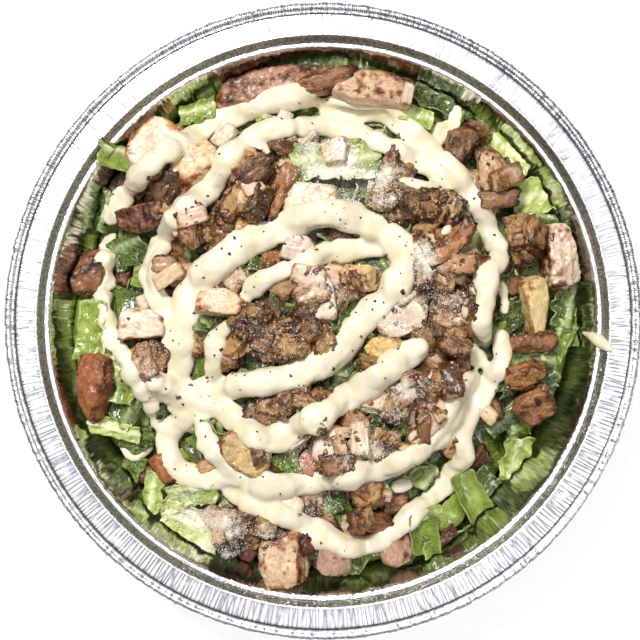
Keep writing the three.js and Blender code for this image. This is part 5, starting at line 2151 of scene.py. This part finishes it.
@dataclass
class Studio:
    """A pale floor, a soft white sky that is brightest overhead, and the camera straight above."""

    camera_place: tuple[float, float, float] = (-1.1, 0.5, 464.0)
    view_degrees: float = 30.44
    floor_size: float = 3.0

    def build(self) -> None:
        """Makes the floor, the light and the camera."""
        self.floor()
        self.sky()
        self.lamps()
        self.camera()
        settings = bpy.context.scene.view_settings
        settings.view_transform = "Standard"
        settings.look = "None"

    def floor(self) -> None:
        """The pale floor."""
        bm = bmesh.new()
        bmesh.ops.create_grid(bm, x_segments=4, y_segments=4, size=self.floor_size / 2)
        mesh = mesh_of(bm, "floor")
        mesh.materials.append(MattPaint().material())
        linked("floor", mesh)

    def sky(self) -> None:
        """A soft white sky: brightest overhead, greyer towards the horizon."""
        world = bpy.data.worlds.new("studio_sky")
        world.use_nodes = True
        bpy.context.scene.world = world
        world.node_tree.nodes.clear()
        add = partial(add_node, world.node_tree)
        up = add("SeparateXYZ", {0: add("TexCoord", out="Generated")}, 2)
        stops = [(0.0, "4C4C4C"), (0.5, "4E4E4E"), (0.8, "848484"), (0.93, "FFFFFF")]
        shade = add("ValToRGB", {"Fac": up}, stops=stops)
        seen = add("LightPath", out="Is Camera Ray")
        colour = add("Mix", {"Factor": seen, 6: shade, 7: srgb("F4F4F4")}, 2, data_type="RGBA")
        light = add("Background", {"Color": colour, "Strength": 1.1})
        add("OutputWorld", {"Surface": light})

    def lamps(self) -> None:
        """A large soft lamp over the back left, and a weaker one on the other side."""
        for name, place, size, power in (
            ("key_softbox", (-0.24, 0.44, 0.9), 0.2, 10.5),
            ("fill_softbox", (0.6, -0.3, 0.8), 0.6, 1.4),
        ):
            lamp = bpy.data.lights.new(name, "AREA")
            lamp.shape, lamp.size, lamp.energy = "DISK", size, power
            holder = linked(name, lamp)
            holder.location = place
            aim = Vector((0.0, 0.0, 0.03)) - Vector(place)
            holder.rotation_euler = aim.to_track_quat("-Z", "Y").to_euler()

    def camera(self) -> None:
        """The camera, straight above, with the top of its picture towards +Y."""
        lens = bpy.data.cameras.new("camera")
        lens.sensor_fit = "HORIZONTAL"
        lens.angle = math.radians(self.view_degrees)
        lens.clip_start = 0.01
        camera = linked("camera", lens)
        camera.location = Vector(self.camera_place) * MM
        bpy.context.scene.camera = camera


# ---- The whole salad ----


@dataclass(frozen=True)
class CaesarSalad:
    """The pan and everything in it, built in the order it was filled."""

    cheese: DryCrumb = DryCrumb("grated_hard_cheese", "FDF8E8", "EFE3C4", 0.7)
    pepper: DryCrumb = DryCrumb("ground_black_pepper", "6A6058", "26201C", 0.6)
    meats: tuple[tuple[Cut, RoastMeat], ...] = (
        (Cut.PALE, RoastMeat("roast_chicken_pale", 0.42, 0.22, 0.35, 0.7, 0.2)),
        (Cut.SEARED, RoastMeat("roast_chicken_seared", 0.42, 0.26, 0.3, 0.85, 0.4)),
        (Cut.CRISP, RoastMeat("roast_chicken_crisp", 0.44, 0.26, 0.2, 0.95, 0.6)),
    )

    def build(self, frame: dict) -> list[Object]:
        """Builds every piece.

        Args:
            frame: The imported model.

        Returns:
            The finished pieces.
        """
        meat = {cut: finish.material() for cut, finish in self.meats}
        foil = FoilPan().build(PressedFoil().material())
        food = RomaineHeap(SHOWING_LEAVES).build(WetLeaf().material())
        cuts = {
            part["node"]: Cut(part["material_slot"])
            for part in frame["record"]["subparts"]
            if part["node"].startswith("chicken_")
        }
        food += [
            ChickenPiece(node, int(node.rsplit("_", 1)[1]), cut).build(frame, meat[cut])
            for node, cut in sorted(cuts.items())
        ]
        food += ChickenMorsels(MORSEL_PATCHES, PLACED_MORSELS).build(meat, Surface(food))
        food.append(ChickenCrumbs(CRUMB_PATCHES).build(meat[Cut.CRISP], Surface(food)))
        cream = CreamyDressing().material()
        swirls = DressingSwirls(STROKES).build(cream, Surface(food))
        drop = RimDrop().build(cream)
        ground, dressing = Surface([*food, swirls]), Surface([swirls])
        cheese = GratedCheese(CHEESE_PATCHES).build(self.cheese.material(), ground, dressing)
        pepper = GroundPepper(PEPPER_PATCHES).build(self.pepper.material(), ground)
        return [foil, *food, swirls, drop, cheese, pepper]


def main() -> None:
    """Builds the salad and the studio."""
    logging.basicConfig(level=logging.INFO, format="%(name)s: %(message)s")
    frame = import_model()
    pieces = CaesarSalad().build(frame)
    log.info("%d pieces", len(pieces))
    Studio().build()


if __name__ == "__main__":
    main()
